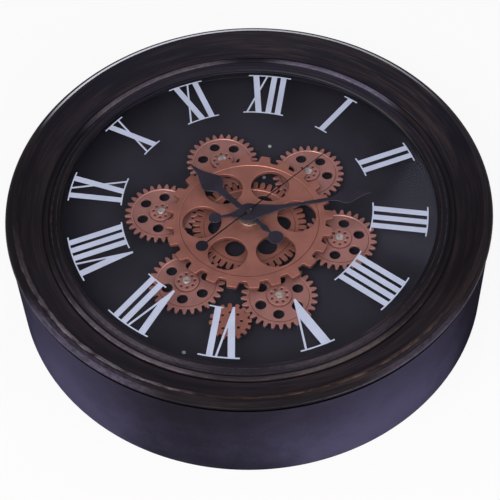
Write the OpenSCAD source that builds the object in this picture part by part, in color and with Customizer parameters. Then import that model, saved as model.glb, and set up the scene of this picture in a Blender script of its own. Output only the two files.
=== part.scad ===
// Wall clock with an open gear train: a pressed steel drum and bezel, a glazed well,
// a coarse front gear on a sun gear, a ring of planet gears and a drive pinion, and
// three spade hands on a quartz movement. It lies on its back: +Z comes out of the
// dial, +Y points to twelve o'clock, and the origin is the centre of the back rim.

/* [Case] */
// Outer radius of the drum
drum_r = 229; // [205:1:255]
// Thickness of the drum's sheet steel
sheet_t = 1.5; // [1:0.1:2]
// Inside radius of the drum's rolled back corner
bend_r = 1.5; // [1:0.1:4]
// Width of the flange turned in at the back
rear_flange_w = 13; // [11:0.5:20]
// Height of the dark joint between the drum and the bezel's lip
seam_gap = 1.2; // [0.5:0.1:3]
// Radial gap of the pieces that slide into the drum
slip_gap = 0.2; // [0.1:0.05:0.4]

/* [Bezel] */
// How far the bezel's lip stands out past the drum
lip_overhang = 1; // [0:0.1:3]
// Width of the round outer moulding
ovolo_w = 8.3; // [6:0.1:12]
// Height of the round outer moulding
ovolo_h = 6.9; // [5:0.1:10]
// Width of the worn flat along the ridge
ridge_w = 0.8; // [0.4:0.1:2]
// Width of the cove that falls from the ridge to the bead
cove_w = 24; // [18:0.5:30]
// Height from the foot of the cove to the ridge
cove_drop = 16.1; // [12:0.1:20]
// How deep the cove is hollowed below a straight slope
cove_sag = 2.2; // [0:0.1:3]
// Width of the narrow grooves beside the bead
groove_w = 0.5; // [0.3:0.1:1]
// Width of the bead
bead_w = 5.4; // [4:0.1:8]
// Height of the bead
bead_h = 1.6; // [0.8:0.1:3]
// Width of the land between the bead and the glass
land_w = 10.9; // [9:0.1:14]
// Height of the soft ridge on the land
land_h = 0.8; // [0.2:0.1:1.5]
// Thickness of the bezel's pressed sheet
bezel_t = 1.2; // [0.8:0.1:1.5]
// Depth of the skirt that holds the bezel in the drum
skirt_h = 12; // [8:0.5:16]

/* [Glass] */
// Thickness of the glass
glass_t = 3; // [2:0.1:4]
// How far the glass reaches under the land
glass_cover = 9; // [7:0.1:11]
// Gap around the edge of the glass
glass_edge_gap = 0.5; // [0.3:0.1:1]
// Thickness of the gasket between the glass and the land
gasket_t = 0.5; // [0.3:0.1:1]
// How far the gasket and the retainer stay back from the land's edge
rebate = 2; // [1:0.1:3]
// Air between the hands and the glass
glass_gap = 3.5; // [1.5:0.1:6]

/* [Dial] */
// Thickness of the dial board
dial_t = 4; // [3:0.1:6]
// Width of the ring flange that lies on the edge of the dial
dial_flange_w = 15.3; // [12:0.1:20]
// Number of screws through the dial's edge
dial_screw_count = 6; // [4:1:10]

/* [Gear train] */
// Module of the fine gears
gear_module = 2.4; // [2.2:0.05:2.7]
// Teeth of the sun gear
sun_teeth = 46; // [42:1:52]
// Teeth of each planet gear
planet_teeth = 28; // [26:1:32]
// Teeth of the drive pinion
pinion_teeth = 16; // [14:1:20]
// Pressure angle of the fine teeth
pressure_angle = 20; // [17:0.5:22]
// Addendum of the planet teeth, in modules
planet_addendum = 1; // [0.8:0.05:1]
// Addendum of the short sun and pinion teeth, in modules
short_addendum = 0.25; // [0.1:0.05:0.5]
// Depth of the planet and pinion teeth below the pitch circle, in modules
dedendum = 1.25; // [1.2:0.01:1.3]
// Depth of the sun's slender teeth below the pitch circle, in modules
sun_dedendum = 3; // [1.3:0.1:3.2]
// How much each tooth flank is thinned for play
tooth_play = 0.15; // [0.1:0.01:0.2]
// Thickness of the sun, the planets and the pinion
gear_t = 2.5; // [2:0.1:4]
// Height of the fine gears above the dial
gear_rise = 7.5; // [6:0.1:10]
// Direction of the first planet from the centre
planet_start = -3.3; // [-10:0.1:10]
// Direction of a sun tooth
sun_turn = 5.4; // [0:0.1:7.8]
// Direction of the pinion from the planet that it meets
pinion_direction = -141; // [-146:0.5:-136]
// Width of the planet's rim between the teeth and its line
planet_rim = 1.4; // [0.8:0.1:2.5]
// Radius of the six lightening holes in a planet
planet_hole_r = 5.35; // [4:0.05:6]
// Radius of a planet's raised hub
planet_hub_r = 11.5; // [10.5:0.1:12.5]
// Height of a planet's raised hub
planet_hub_rise = 2; // [1:0.1:3]
// Radius of the small holes around a hub
hub_hole_r = 1.25; // [0.8:0.05:1.5]
// Radius of the circle that the small hub holes lie on
hub_hole_pitch = 7.6; // [7:0.1:8.5]
// Radius of the spigot that a planet turns on
post_r = 3; // [2:0.1:3.5]
// Radius of the post's shoulder
post_shoulder_r = 6; // [5:0.1:8]
// Radius of the post's tail through the dial
post_tail_r = 2.5; // [2:0.1:4]
// Width across the corners of the nut on the post's tail
post_nut_w = 10; // [9:0.5:12]
// Radius of the silver screw head on a post
planet_screw_r = 3.9; // [3.7:0.1:4.5]
// Height of the silver screw head
planet_screw_h = 1.8; // [1.2:0.1:3]
// Length of the silver screw's shank in its post
planet_screw_l = 5; // [4:0.5:8]
// Width of the sun's rim between the teeth and its line
sun_rim = 2.4; // [1.5:0.1:5]
// Radius of the six holes in the sun
sun_hole_r = 9.8; // [7:0.1:11]
// Direction of the first hole of the sun and the front gear
hole_turn = 11.8; // [0:0.1:60]
// Web between the sun's holes and its line
sun_web = 3.6; // [2:0.1:6]
// Width of the turned lines on the gear faces
line_w = 1.4; // [0.6:0.1:2]
// Depth of the turned lines on the gear faces
line_d = 0.8; // [0.3:0.1:1.2]

/* [Front gear] */
// Tip radius of the coarse front gear
front_tip_r = 81.5; // [78:0.1:84]
// Height of its coarse teeth
front_tooth_h = 7.5; // [5:0.1:9]
// Number of its coarse teeth
front_teeth = 24; // [20:1:28]
// Width of a tooth gap at its foot
front_gap_w = 8.4; // [6:0.1:9]
// Flare of each side of a tooth gap
front_gap_flare = 2.2; // [0.5:0.1:3]
// Corner radius at the foot of a tooth gap
front_gap_r = 2; // [1:0.1:2.8]
// Direction of a coarse tooth
front_turn = 11.5; // [0:0.1:15]
// Thickness of the front gear
front_t = 4; // [2.5:0.1:7]
// Space between the planet screws and the front gear
front_gap = 2; // [0.5:0.1:4]
// Width of the rim between the tooth gaps and the line
front_rim = 5.1; // [3:0.1:8]
// Radius of the six large holes
front_hole_r = 19; // [15:0.1:20.5]
// Web between the large holes and the line
front_web = 2.5; // [1.5:0.1:5]

/* [Hands] */
// Direction of the hour hand
hour_turn = 140.5; // [0:0.5:360]
// Direction of the minute hand
minute_turn = 19; // [0:0.5:360]
// Direction of the second hand
second_turn = 52; // [0:0.5:360]
// Length of the hour hand
hour_l = 90; // [75:1:105]
// Length of the minute hand
minute_l = 121; // [105:1:140]
// Length of the second hand
second_l = 110; // [95:1:130]
// Width of the hands at their tips
hand_tip_w = 0.6; // [0.4:0.1:1.5]
// Widest part of the hour hand's leaf
hour_leaf_w = 23; // [16:0.5:28]
// Widest part of the minute hand's leaf
minute_leaf_w = 16.5; // [12:0.5:20]
// Width of the hour hand's stem
hour_stem_w = 6; // [4:0.1:9]
// Width of the minute hand where it is narrowest
minute_stem_w = 3.8; // [2.5:0.1:6]
// Width of the second hand
second_w = 1.4; // [1:0.1:2.5]
// Thickness of the hour and minute hands
hand_t = 1; // [0.6:0.1:1.6]
// Height from one hand to the next
hand_step = 3.5; // [2.6:0.1:5]
// Height of the hour hand above the hub nut
hand_rise = 3.3; // [2.5:0.1:6]
// Radius of the minute hand's round boss
minute_boss_r = 11; // [8:0.1:13]
// Radius of the hour hand's tail disc
hour_tail_r = 7.6; // [5:0.1:10]
// Radius of the minute hand's tail disc
minute_tail_r = 6.2; // [4:0.1:9]
// Radius of the second hand's tail disc
second_tail_r = 6; // [4:0.1:8]
// Distance of the hour hand's tail disc from the centre
hour_tail_l = 38; // [30:1:45]
// Distance of the minute hand's tail disc from the centre
minute_tail_l = 33; // [26:1:45]
// Distance of the second hand's tail disc from the centre
second_tail_l = 61; // [50:1:70]
// Radius of the cap on the second hand
cap_r = 3.4; // [2.5:0.1:6]
// Height of the cap on the second hand
cap_h = 1.5; // [1:0.1:3]

/* [Shafts] */
// Radial clearance of everything that turns
run_gap = 0.05; // [0.02:0.01:0.08]
// End play of everything that turns
end_gap = 0.2; // [0.1:0.05:0.4]
// Radius of the second hand's arbor
second_arbor_r = 0.6; // [0.5:0.05:0.8]
// Wall of the minute arbor
arbor_wall = 0.9; // [0.7:0.05:1.1]
// Wall of the hour pipe
pipe_wall = 0.9; // [0.7:0.05:1.1]
// Wall of the fixed centre bush
bush_wall = 2.4; // [2:0.1:3]
// Wall of the sleeve that carries the front gear and the sun
sleeve_wall = 3; // [2:0.1:4]
// Radius of the collar between the front gear and the sun
collar_r = 14; // [12:0.1:16]
// Height of the nuts
nut_h = 3; // [2:0.1:4]
// Width across the flats of the dial nut
nut_af = 14; // [13:0.5:17]
// Radius of the round hub nut below the hands
hub_nut_r = 10.5; // [9:0.1:11.5]
// Radius of the motor's shaft
motor_shaft_r = 2; // [1.5:0.1:3]
// How far the motor's shaft stands out of the pinion
shaft_proud = 1; // [0:0.1:2]

/* [Works] */
// Wall of the square movement case beside its cell
movement_wall = 1.4; // [1:0.1:3]
// Depth of the movement case
movement_h = 16; // [15.8:0.1:20]
// Radius of the setting knob
knob_r = 5; // [4:0.1:7]
// Height of the setting knob
knob_h = 4; // [3:0.1:6]
// Radius of the setting knob's stem
knob_stem_r = 1.5; // [1:0.1:2]
// Radius of the flutes round the setting knob
knob_flute_r = 1; // [0.5:0.1:1.2]
// Radius of an AA cell
cell_r = 7.25; // [7:0.05:7.3]
// Length of an AA cell's can
cell_l = 49.2; // [48:0.1:50]
// Radius of a cell's nub
cell_nub_r = 2.75; // [2:0.05:3]
// Length of a cell's nub
cell_nub_l = 1.2; // [0.8:0.1:1.4]
// Space for the contacts at each end of a cell
contact_space = 2; // [1.6:0.1:3]
// Radius of the contact plates
contact_r = 4; // [3:0.1:6]
// Room between a cell and the sides of its compartment
cell_room = 0.5; // [0.3:0.1:1]
// Wall of the battery compartments
box_wall = 1.6; // [1.2:0.1:2.5]
// Place of the gear motor's battery box, across the clock
box_x = 4.4; // [-10:0.1:10]
// Place of the gear motor's battery box, up the clock
box_y = 91.6; // [85:0.1:100]
// Distance between the battery box's two fixing screws
box_screw_span = 42.1; // [41:0.1:50]
// Radius of the motor's gearbox
gearbox_r = 18; // [14:0.5:20]
// Depth of the motor's gearbox
gearbox_h = 12; // [10:0.5:16]
// Radius of the motor can behind the gearbox
motor_can_r = 11; // [8:0.5:13]
// Depth of the motor can
motor_can_h = 10; // [8:0.5:16]
// Thickness of the motor's strap
strap_t = 1.5; // [1:0.1:3]
// Width of the motor's strap
strap_w = 12; // [9:0.5:14]
// Direction of the strap's long end
strap_turn = -139; // [-150:1:-130]
// Length of the strap's long end
strap_long = 50.6; // [40:0.1:56]
// Length of the strap's short end
strap_short = 30; // [27:0.5:34]
// Radius of a lead
lead_r = 0.9; // [0.6:0.1:1.2]
// Length of the straight ends of a lead
lead_straight = 8; // [5:0.5:12]
// Direction in which the leads meet the gearbox
lead_turn = 135; // [110:1:150]
// Radius of the heads of the small fixing screws
screw_head_r = 1.9; // [1.7:0.1:2.6]
// Height of the heads of the small fixing screws
screw_head_h = 1.4; // [1:0.1:2]
// Radius of the shanks of the small fixing screws
screw_r = 1.2; // [0.8:0.1:1.4]

/* [Back] */
// Thickness of the back board
board_t = 5; // [4:0.1:8]
// Finger space between the back board and the motor
access_gap = 20; // [15:0.5:30]
// Width of the access window
window_w = 120; // [100:1:140]
// Margin of the window round the movement and the battery box
window_margin = 10; // [6:0.5:14]
// Number of screws in the back flange
back_screw_count = 8; // [6:1:12]
// Width of the hanger plate
hanger_w = 56; // [46:1:70]
// How far the hanger plate covers the board round the pocket behind it
hanger_margin = 2; // [1:0.1:4]
// Thickness of the hanger plate
hanger_t = 1.4; // [1:0.1:1.5]
// Radius of the hanger's entry hole
keyhole_r = 5; // [4:0.1:6]
// Width of the hanger's slot
keyhole_slot_w = 4.4; // [3.5:0.1:5]
// How far the slot's end lies above the entry hole
keyhole_rise = 8; // [7:0.1:9]
// Room for a screw head in the pocket behind the hanger
pocket_room = 3; // [2:0.1:4]
// Distance of the hanger from the back flange
hanger_inset = 36; // [30:0.5:45]

/* [Hidden] */
$fn = 96;
planet_count = 6;
// Whole teeth that each planet is turned on by, so that its holes lie at their own angle
planet_steps = [12, 7, 9, 13, 5, 12];
drive_planet = 6;
hole_count = 6;
hub_hole_count = 8;
flank_steps = 5;
lead_sides = 8;
knob_flutes = 12;
corner_r = 3;
// Clearance of pieces pressed or screwed together, and overshoot of every cut
fit_gap = 0.02;
thru = 1;
steel_black = "#2b272b";
steel_grey = "#35323f";
copper = "#8c5a50";
silver = "#c8c8c6";
ink_black = "#1d1c20";
brass = "#b08a4a";

// Heights, from the back rim to the bezel's ridge
board_z = sheet_t;
board_top = board_z + board_t;
motor_h = gearbox_h + motor_can_h;
dial_z = board_top + access_gap + motor_h + strap_t;
dial_top = dial_z + dial_t;
gear_z = dial_top + gear_rise;
gear_top = gear_z + gear_t;
hub_top = gear_top + planet_hub_rise;
post_top = hub_top + end_gap;
planet_screw_top = post_top + planet_screw_h;
front_z = planet_screw_top + front_gap;
front_top = front_z + front_t;
hub_nut_z = front_top + end_gap;
hub_nut_top = hub_nut_z + nut_h;
hour_z = hub_nut_top + hand_rise;
minute_z = hour_z + hand_step;
second_z = minute_z + hand_step;
second_t = 0.6 * hand_t;
cap_z = second_z + second_t;
glass_z = cap_z + cap_h + glass_gap;
glass_top = glass_z + glass_t;
land_z = glass_top + gasket_t;
cove_z = land_z + bezel_t;
ridge_z = cove_z + cove_drop;
seam_z = ridge_z - ovolo_h;
skirt_z = seam_z - skirt_h;
drum_top = seam_z - seam_gap;

// Radii of the case, from the outside in
bezel_r = drum_r + lip_overhang;
drum_in_r = drum_r - sheet_t;
inner_r = drum_in_r - slip_gap;
skirt_in_r = inner_r - sheet_t;
ridge_r = bezel_r - ovolo_w;
cove_top_r = ridge_r - ridge_w;
cove_foot_r = cove_top_r - cove_w;
bead_out_r = cove_foot_r - groove_w;
bead_in_r = bead_out_r - bead_w;
land_out_r = bead_in_r - groove_w;
land_in_r = land_out_r - land_w;
glass_r = land_in_r + glass_cover;
retainer_r = glass_r + glass_edge_gap;
dial_flange_r = inner_r - dial_flange_w;
rear_flange_r = drum_r - rear_flange_w;
dial_screw_circle = (dial_flange_r + skirt_in_r) / 2;
back_screw_circle = (rear_flange_r + drum_in_r - bend_r) / 2;

// Gear radii and places
function pitch_r(teeth) = gear_module * teeth / 2;
function root_r(teeth, depth = dedendum) = pitch_r(teeth) - depth * gear_module;
sun_root_r = root_r(sun_teeth, sun_dedendum);
orbit_r = pitch_r(sun_teeth) + pitch_r(planet_teeth);
drive_span = pitch_r(planet_teeth) + pitch_r(pinion_teeth);
function on_circle(r, a) = [r * cos(a), r * sin(a)];
function planet_angle(k) = planet_start + (k - 1) * 360 / planet_count;
function planet_place(k) = on_circle(orbit_r, planet_angle(k));
pinion_place = planet_place(drive_planet) + on_circle(drive_span, pinion_direction);
// A follower has a gap where the driver's tooth comes, seen along the line of centres
function mesh_turn(line, driver_turn, driver, follower) =
    line + 180 + 180 / follower - (driver_turn - line) * driver / follower;
function planet_turn(k) =
    mesh_turn(planet_angle(k), sun_turn, sun_teeth, planet_teeth)
    + planet_steps[k - 1] * 360 / planet_teeth;
pinion_turn = mesh_turn(pinion_direction, planet_turn(drive_planet), planet_teeth, pinion_teeth);
planet_line_r = root_r(planet_teeth) - planet_rim;
planet_hole_pitch = (planet_hub_r + planet_line_r - line_w) / 2;
sun_line_r = sun_root_r - sun_rim;
sun_hole_pitch = sun_line_r - line_w - sun_web - sun_hole_r;
front_root_r = front_tip_r - front_tooth_h;
front_line_r = front_root_r - front_rim;
front_hole_pitch = front_line_r - line_w - front_web - front_hole_r;

// Shafts, from the inside out
arbor_in_r = second_arbor_r + run_gap;
arbor_r = arbor_in_r + arbor_wall;
pipe_in_r = arbor_r + run_gap;
pipe_r = pipe_in_r + pipe_wall;
bush_in_r = pipe_r + run_gap;
bush_r = bush_in_r + bush_wall;
sleeve_in_r = bush_r + run_gap;
sleeve_r = sleeve_in_r + sleeve_wall;
bush_depth = 6;
bush_z = dial_z - bush_depth;
shaft_z = bush_z + end_gap;
hand_collar_w = 1.8;
shaft_room = 2;
shaft_hole_r = motor_shaft_r + shaft_room;

// Works behind the dial
movement_z = dial_z - movement_h;
cell_bay_w = 2 * (cell_r + cell_room);
cell_bay_l = cell_l + 2 * contact_space;
cell_depth = 2 * cell_r + cell_room;
cell_z = cell_r + cell_room / 2;
movement_w = cell_bay_l + 2 * movement_wall;
movement_bay_y = -movement_w / 2 + movement_wall + cell_bay_w / 2;
knob_place = [0, movement_w / 4];
knob_z = movement_z - end_gap - knob_h;
box_w = 2 * cell_bay_w + 3 * box_wall;
box_l = cell_bay_l + 2 * box_wall;
box_h = cell_depth + box_wall;
box_z = dial_z - box_h;
ear_t = 2.5;
ear_r = 4.2;
lead_step = 3 * lead_r;
box_cells = [for (side = [-1, 1]) [box_x, box_y + side * (cell_bay_w + box_wall) / 2, box_z + cell_z]];
movement_cell_place = [0, movement_bay_y, movement_z + cell_z];
box_screws = [for (side = [-1, 1]) [box_x, box_y + side * box_screw_span / 2]];
strap_screws = [
    pinion_place + on_circle(strap_long, strap_turn),
    pinion_place + on_circle(strap_short, strap_turn + 180)
];
fixings = concat(box_screws, strap_screws);
window_low = -movement_w / 2 - window_margin;
window_high = box_y + box_screw_span / 2 + ear_r + window_margin;
hanger_y = rear_flange_r - hanger_inset;
pocket_w = 2 * (keyhole_r + pocket_room);
pocket_h = pocket_w + keyhole_rise;
hanger_screw_inset = 6;
hanger_screw_x = hanger_w / 2 - hanger_screw_inset;
hanger_h = pocket_h + 2 * hanger_margin;

// Shared shapes
module tube(r_out, r_in, h) {
    linear_extrude(h)
        difference() {
            circle(r_out);
            circle(r_in);
        }
}

module around(count, r, turn = 0) {
    for (i = [0 : count - 1])
        rotate(turn + i * 360 / count)
            translate([r, 0])
                children();
}

module rounded(w, h, r) {
    square([w - 2 * r, h], center = true);
    square([w, h - 2 * r], center = true);
    for (x = [-1, 1], y = [-1, 1])
        translate([x * (w / 2 - r), y * (h / 2 - r)])
            circle(r);
}

module turned_line(r, top) {
    translate([0, 0, top - line_d])
        tube(r, r - line_w, line_d + thru);
}

module small_screw(head_r, head_h, shank_r, shank_l) {
    cylinder(r = head_r, h = head_h);
    translate([0, 0, -shank_l])
        cylinder(r = shank_r, h = shank_l);
}

function backwards(list) = [for (i = [len(list) - 1 : -1 : 0]) list[i]];

// A fine gear's outline, with involute flanks and a tooth centred on +X
function involute(a) = tan(a) * 180 / PI - a;
function flank(teeth, r) =
    90 / teeth
    - tooth_play / pitch_r(teeth) * 180 / PI
    + involute(pressure_angle)
    - involute(acos(min(1, pitch_r(teeth) * cos(pressure_angle) / r)));
function gear_points(teeth, addendum, foot) =
    let (
        base = max(foot, pitch_r(teeth) * cos(pressure_angle)),
        tip = pitch_r(teeth) + addendum * gear_module,
        rise = [for (j = [0 : flank_steps]) base + (tip - base) * j / flank_steps],
        radii = foot < base ? concat([foot], rise) : rise,
        last = len(radii) - 1
    )
    [for (i = [0 : teeth - 1], side = [-1, 1], j = [0 : last])
        let (r = radii[side < 0 ? j : last - j])
        on_circle(r, i * 360 / teeth + side * flank(teeth, r))];

// A hand's outline: stations of [distance, half width], rounded into a smooth curve
function glide(p, q, r, s, t) =
    0.5 * (2 * q + (r - p) * t + (2 * p - 5 * q + 4 * r - s) * t * t
    + (3 * q - p - 3 * r + s) * t * t * t);
function smooth(stations, steps = 4) =
    let (last = len(stations) - 1)
    concat(
        [for (i = [0 : last - 1], j = [0 : steps - 1])
            glide(stations[max(0, i - 1)], stations[i], stations[i + 1],
                  stations[min(last, i + 2)], j / steps)],
        [stations[last]]
    );
module blade(stations) {
    side = [for (p = smooth(stations)) [p.x, max(p.y, hand_tip_w / 2)]];
    polygon(concat(
        [for (p = side) [p.x, -p.y]],
        backwards(side)
    ));
}

// Case
module drum_shell() {
    outer_r = bend_r + sheet_t;
    corner = [for (a = [0 : 15 : 90]) [drum_r - outer_r + outer_r * cos(a), outer_r - outer_r * sin(a)]];
    inner = [for (a = [90 : -15 : 0]) [drum_r - outer_r + bend_r * cos(a), outer_r - bend_r * sin(a)]];
    color(steel_grey)
        difference() {
            rotate_extrude()
                polygon(concat(
                    [[drum_in_r, drum_top], [drum_r, drum_top]],
                    corner,
                    [[rear_flange_r, 0], [rear_flange_r, sheet_t]],
                    inner
                ));
            around(back_screw_count, back_screw_circle)
                translate([0, 0, -fit_gap])
                    cylinder(r1 = screw_head_r + sheet_t + 2 * fit_gap, r2 = screw_head_r, h = sheet_t + 2 * fit_gap);
        }
}

// The bezel's face, from the lip inwards, then its back, from the land outwards
function ovolo(w, h) = [for (a = [0 : 9 : 90]) [ridge_r + w * cos(a), seam_z + h * sin(a)]];
function cove(z) =
    [for (s = [0 : 0.1 : 1]) [cove_top_r - cove_w * s, z + cove_drop * (1 - s) - 4 * cove_sag * s * (1 - s)]];
function bead() =
    [for (a = [0 : 15 : 180]) [bead_out_r - bead_w * (1 - cos(a)) / 2, cove_z + bead_h * sin(a)]];
function land() =
    [for (s = [0 : 0.125 : 1]) [land_out_r - land_w * s, cove_z + land_h * sin(160 * s)]];
module bezel_ring() {
    color(steel_black)
        rotate_extrude()
            polygon(concat(
                ovolo(ovolo_w, ovolo_h),
                cove(cove_z),
                bead(),
                land(),
                [[land_in_r, land_z]],
                backwards(cove(land_z)),
                backwards(ovolo(skirt_in_r - ridge_r, ovolo_h - bezel_t)),
                [[skirt_in_r, skirt_z], [inner_r, skirt_z], [inner_r, seam_z]]
            ));
}

module glass_lens() {
    color("#a8b4c0", 0.25)
        translate([0, 0, glass_z])
            cylinder(r = glass_r, h = glass_t);
}

module glass_gasket() {
    color(ink_black)
        translate([0, 0, glass_top])
            tube(glass_r, land_in_r + rebate, gasket_t);
}

module glass_retainer() {
    color(steel_black)
        translate([0, 0, glass_z - bezel_t])
            difference() {
                cylinder(r = retainer_r + bezel_t, h = land_z - glass_z + bezel_t);
                translate([0, 0, bezel_t])
                    cylinder(r = retainer_r, h = land_z - glass_z + thru);
                translate([0, 0, -thru])
                    cylinder(r = land_in_r + rebate, h = bezel_t + 2 * thru);
            }
}

// Dial
module dial_ring() {
    color(ink_black)
        translate([0, 0, dial_top])
            difference() {
                cylinder(r = inner_r, h = skirt_z - dial_top);
                translate([0, 0, sheet_t])
                    cylinder(r = skirt_in_r, h = skirt_z - dial_top);
                translate([0, 0, -thru])
                    cylinder(r = dial_flange_r, h = sheet_t + 2 * thru);
                around(dial_screw_count, dial_screw_circle, 30)
                    translate([0, 0, -thru])
                        cylinder(r = screw_r + fit_gap, h = sheet_t + 2 * thru);
            }
}

module dial_plate() {
    color(ink_black)
        translate([0, 0, dial_z])
            linear_extrude(dial_t)
                difference() {
                    circle(inner_r);
                    circle(bush_r + fit_gap);
                    for (k = [1 : planet_count])
                        translate(planet_place(k))
                            circle(post_tail_r + fit_gap);
                    translate(pinion_place)
                        circle(shaft_hole_r);
                    for (place = fixings)
                        translate(place)
                            circle(screw_r + fit_gap);
                    around(dial_screw_count, dial_screw_circle, 30)
                        circle(screw_r + fit_gap);
                }
}

module dial_ring_screws() {
    color(silver)
        around(dial_screw_count, dial_screw_circle, 30)
            translate([0, 0, dial_z])
                mirror([0, 0, 1])
                    small_screw(screw_head_r, screw_head_h, screw_r, dial_t + sheet_t);
}

module fixing_screws() {
    color(silver)
        for (place = fixings)
            translate([place.x, place.y, dial_top])
                small_screw(screw_head_r, screw_head_h, screw_r, dial_t + strap_t);
}

// Posts of the planets
module planet_posts() {
    color(steel_grey)
        for (k = [1 : planet_count])
            translate([planet_place(k).x, planet_place(k).y, dial_top])
                difference() {
                    union() {
                        cylinder(r = post_shoulder_r, h = gear_rise - end_gap);
                        cylinder(r = post_r, h = post_top - dial_top);
                        translate([0, 0, -dial_t - nut_h])
                            cylinder(r = post_tail_r, h = dial_t + nut_h);
                    }
                    translate([0, 0, post_top - dial_top - planet_screw_l - end_gap])
                        cylinder(r = screw_r + fit_gap, h = planet_screw_l + end_gap + thru);
                }
}

module post_nuts() {
    color(silver)
        for (k = [1 : planet_count])
            translate([planet_place(k).x, planet_place(k).y, dial_z - nut_h])
                difference() {
                    cylinder(r = post_nut_w / 2, h = nut_h, $fn = 6);
                    translate([0, 0, -thru])
                        cylinder(r = post_tail_r + fit_gap, h = nut_h + 2 * thru);
                }
}

module planet_screws() {
    color(silver)
        for (k = [1 : planet_count])
            translate([planet_place(k).x, planet_place(k).y, post_top])
                difference() {
                    small_screw(planet_screw_r, planet_screw_h, screw_r, planet_screw_l);
                    translate([0, 0, planet_screw_h / 2])
                        cylinder(r = planet_screw_r / 2, h = planet_screw_h, $fn = 6);
                }
}

// Quartz movement and its bush
module movement_case() {
    color(ink_black)
        difference() {
            translate([0, 0, movement_z])
                linear_extrude(movement_h)
                    rounded(movement_w, movement_w, corner_r);
            translate([-cell_bay_l / 2, movement_bay_y - cell_bay_w / 2, movement_z - thru])
                cube([cell_bay_l, cell_bay_w, cell_depth + thru]);
            translate([0, 0, bush_z])
                cylinder(r = bush_r + fit_gap, h = bush_depth + thru);
            translate([knob_place.x, knob_place.y, movement_z - thru])
                cylinder(r = knob_stem_r + run_gap, h = knob_h + thru);
        }
}

module centre_bush() {
    color(brass)
        translate([0, 0, bush_z])
            tube(bush_r, bush_in_r, hub_nut_top - bush_z);
}

module dial_nut() {
    color(brass)
        translate([0, 0, dial_top])
            difference() {
                cylinder(r = nut_af / sqrt(3), h = nut_h, $fn = 6);
                translate([0, 0, -thru])
                    cylinder(r = bush_r + fit_gap, h = nut_h + 2 * thru);
            }
}

module thrust_washer() {
    color(brass)
        translate([0, 0, dial_top + nut_h])
            tube(sleeve_r, bush_r + fit_gap, gear_rise - nut_h - end_gap);
}

module hub_nut() {
    color(copper)
        translate([0, 0, hub_nut_z])
            tube(hub_nut_r, bush_r + fit_gap, nut_h);
}

module set_knob() {
    color(ink_black)
        translate([knob_place.x, knob_place.y, knob_z]) {
            difference() {
                cylinder(r = knob_r, h = knob_h);
                around(knob_flutes, knob_r + knob_flute_r / 2)
                    translate([0, 0, -thru])
                        cylinder(r = knob_flute_r, h = knob_h + 2 * thru);
            }
            cylinder(r = knob_stem_r, h = 2 * knob_h);
        }
}

// Cells, contacts and leads
module cell() {
    rotate([0, 90, 0]) {
        translate([0, 0, -cell_l / 2])
            cylinder(r = cell_r, h = cell_l);
        translate([0, 0, cell_l / 2])
            cylinder(r = cell_nub_r, h = cell_nub_l);
    }
}

// One pair of contacts: a plate that meets the nub and a cup that meets the can
module contacts() {
    translate([cell_l / 2 + cell_nub_l, 0, 0])
        rotate([0, 90, 0])
            cylinder(r = contact_r, h = contact_space - cell_nub_l);
    translate([-cell_l / 2 - contact_space, 0, 0])
        rotate([0, 90, 0])
            tube(contact_r, contact_r - sheet_t, contact_space);
}

module movement_cell() {
    color(copper)
        translate(movement_cell_place)
            cell();
}

module gear_cells() {
    color(copper)
        for (i = [0, 1])
            translate(box_cells[i])
                rotate(180 * i)
                    cell();
}

module battery_contacts() {
    color(silver) {
        translate(movement_cell_place)
            contacts();
        for (i = [0, 1])
            translate(box_cells[i])
                rotate(180 * i)
                    contacts();
    }
}

module battery_box() {
    color(ink_black)
        difference() {
            union() {
                translate([box_x, box_y, box_z])
                    linear_extrude(box_h)
                        rounded(box_l, box_w, corner_r);
                translate([0, 0, dial_z - ear_t])
                    linear_extrude(ear_t) {
                        for (place = box_screws)
                            translate(place)
                                circle(ear_r);
                        translate([box_x, box_y])
                            square([2 * ear_r, box_screw_span], center = true);
                    }
            }
            for (place = box_cells)
                translate([place.x - cell_bay_l / 2, place.y - cell_bay_w / 2, box_z - thru])
                    cube([cell_bay_l, cell_bay_w, cell_depth + thru]);
            for (place = box_screws)
                translate([place.x, place.y, dial_z - ear_t - thru])
                    cylinder(r = screw_r + fit_gap, h = ear_t + 2 * thru);
        }
}

// A lead is an eight-sided tube swept along a flat path, mitred at each point
function lead_ring(path, i) =
    let (
        last = len(path) - 1,
        before = path[max(0, i - 1)],
        after = path[min(last, i + 1)],
        run = (after - before) / norm(after - before),
        side = [-run.y, run.x, 0]
    )
    [for (a = [0 : 360 / lead_sides : 359]) path[i] + lead_r * (cos(a) * side + sin(a) * [0, 0, 1])];
// Each corner of a route is eased into a curve
function lead_corner(before, corner, after) =
    let (
        reach = lead_straight / 2,
        a = corner + reach * (before - corner) / norm(before - corner),
        b = corner + reach * (after - corner) / norm(after - corner)
    )
    [for (t = [0 : 0.25 : 1]) (1 - t) * (1 - t) * a + 2 * t * (1 - t) * corner + t * t * b];
function eased(route) =
    let (last = len(route) - 1)
    concat(
        [route[0]],
        [for (i = [1 : last - 1], p = lead_corner(route[i - 1], route[i], route[i + 1])) p],
        [route[last]]
    );
module lead(route) {
    path = eased(route);
    last = len(path) - 1;
    polyhedron(
        points = [for (i = [0 : last], p = lead_ring(path, i)) p],
        faces = concat(
            [for (i = [0 : last - 1], j = [0 : lead_sides - 1], half = [0, 1])
                let (
                    a = i * lead_sides + j,
                    b = i * lead_sides + (j + 1) % lead_sides
                )
                half == 0 ? [a, b, a + lead_sides] : [b, b + lead_sides, a + lead_sides]],
            [for (j = [1 : lead_sides - 2]) [0, j + 1, j]],
            [for (j = [1 : lead_sides - 2]) [for (v = [0, j, j + 1]) last * lead_sides + v]]
        )
    );
}

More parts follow.
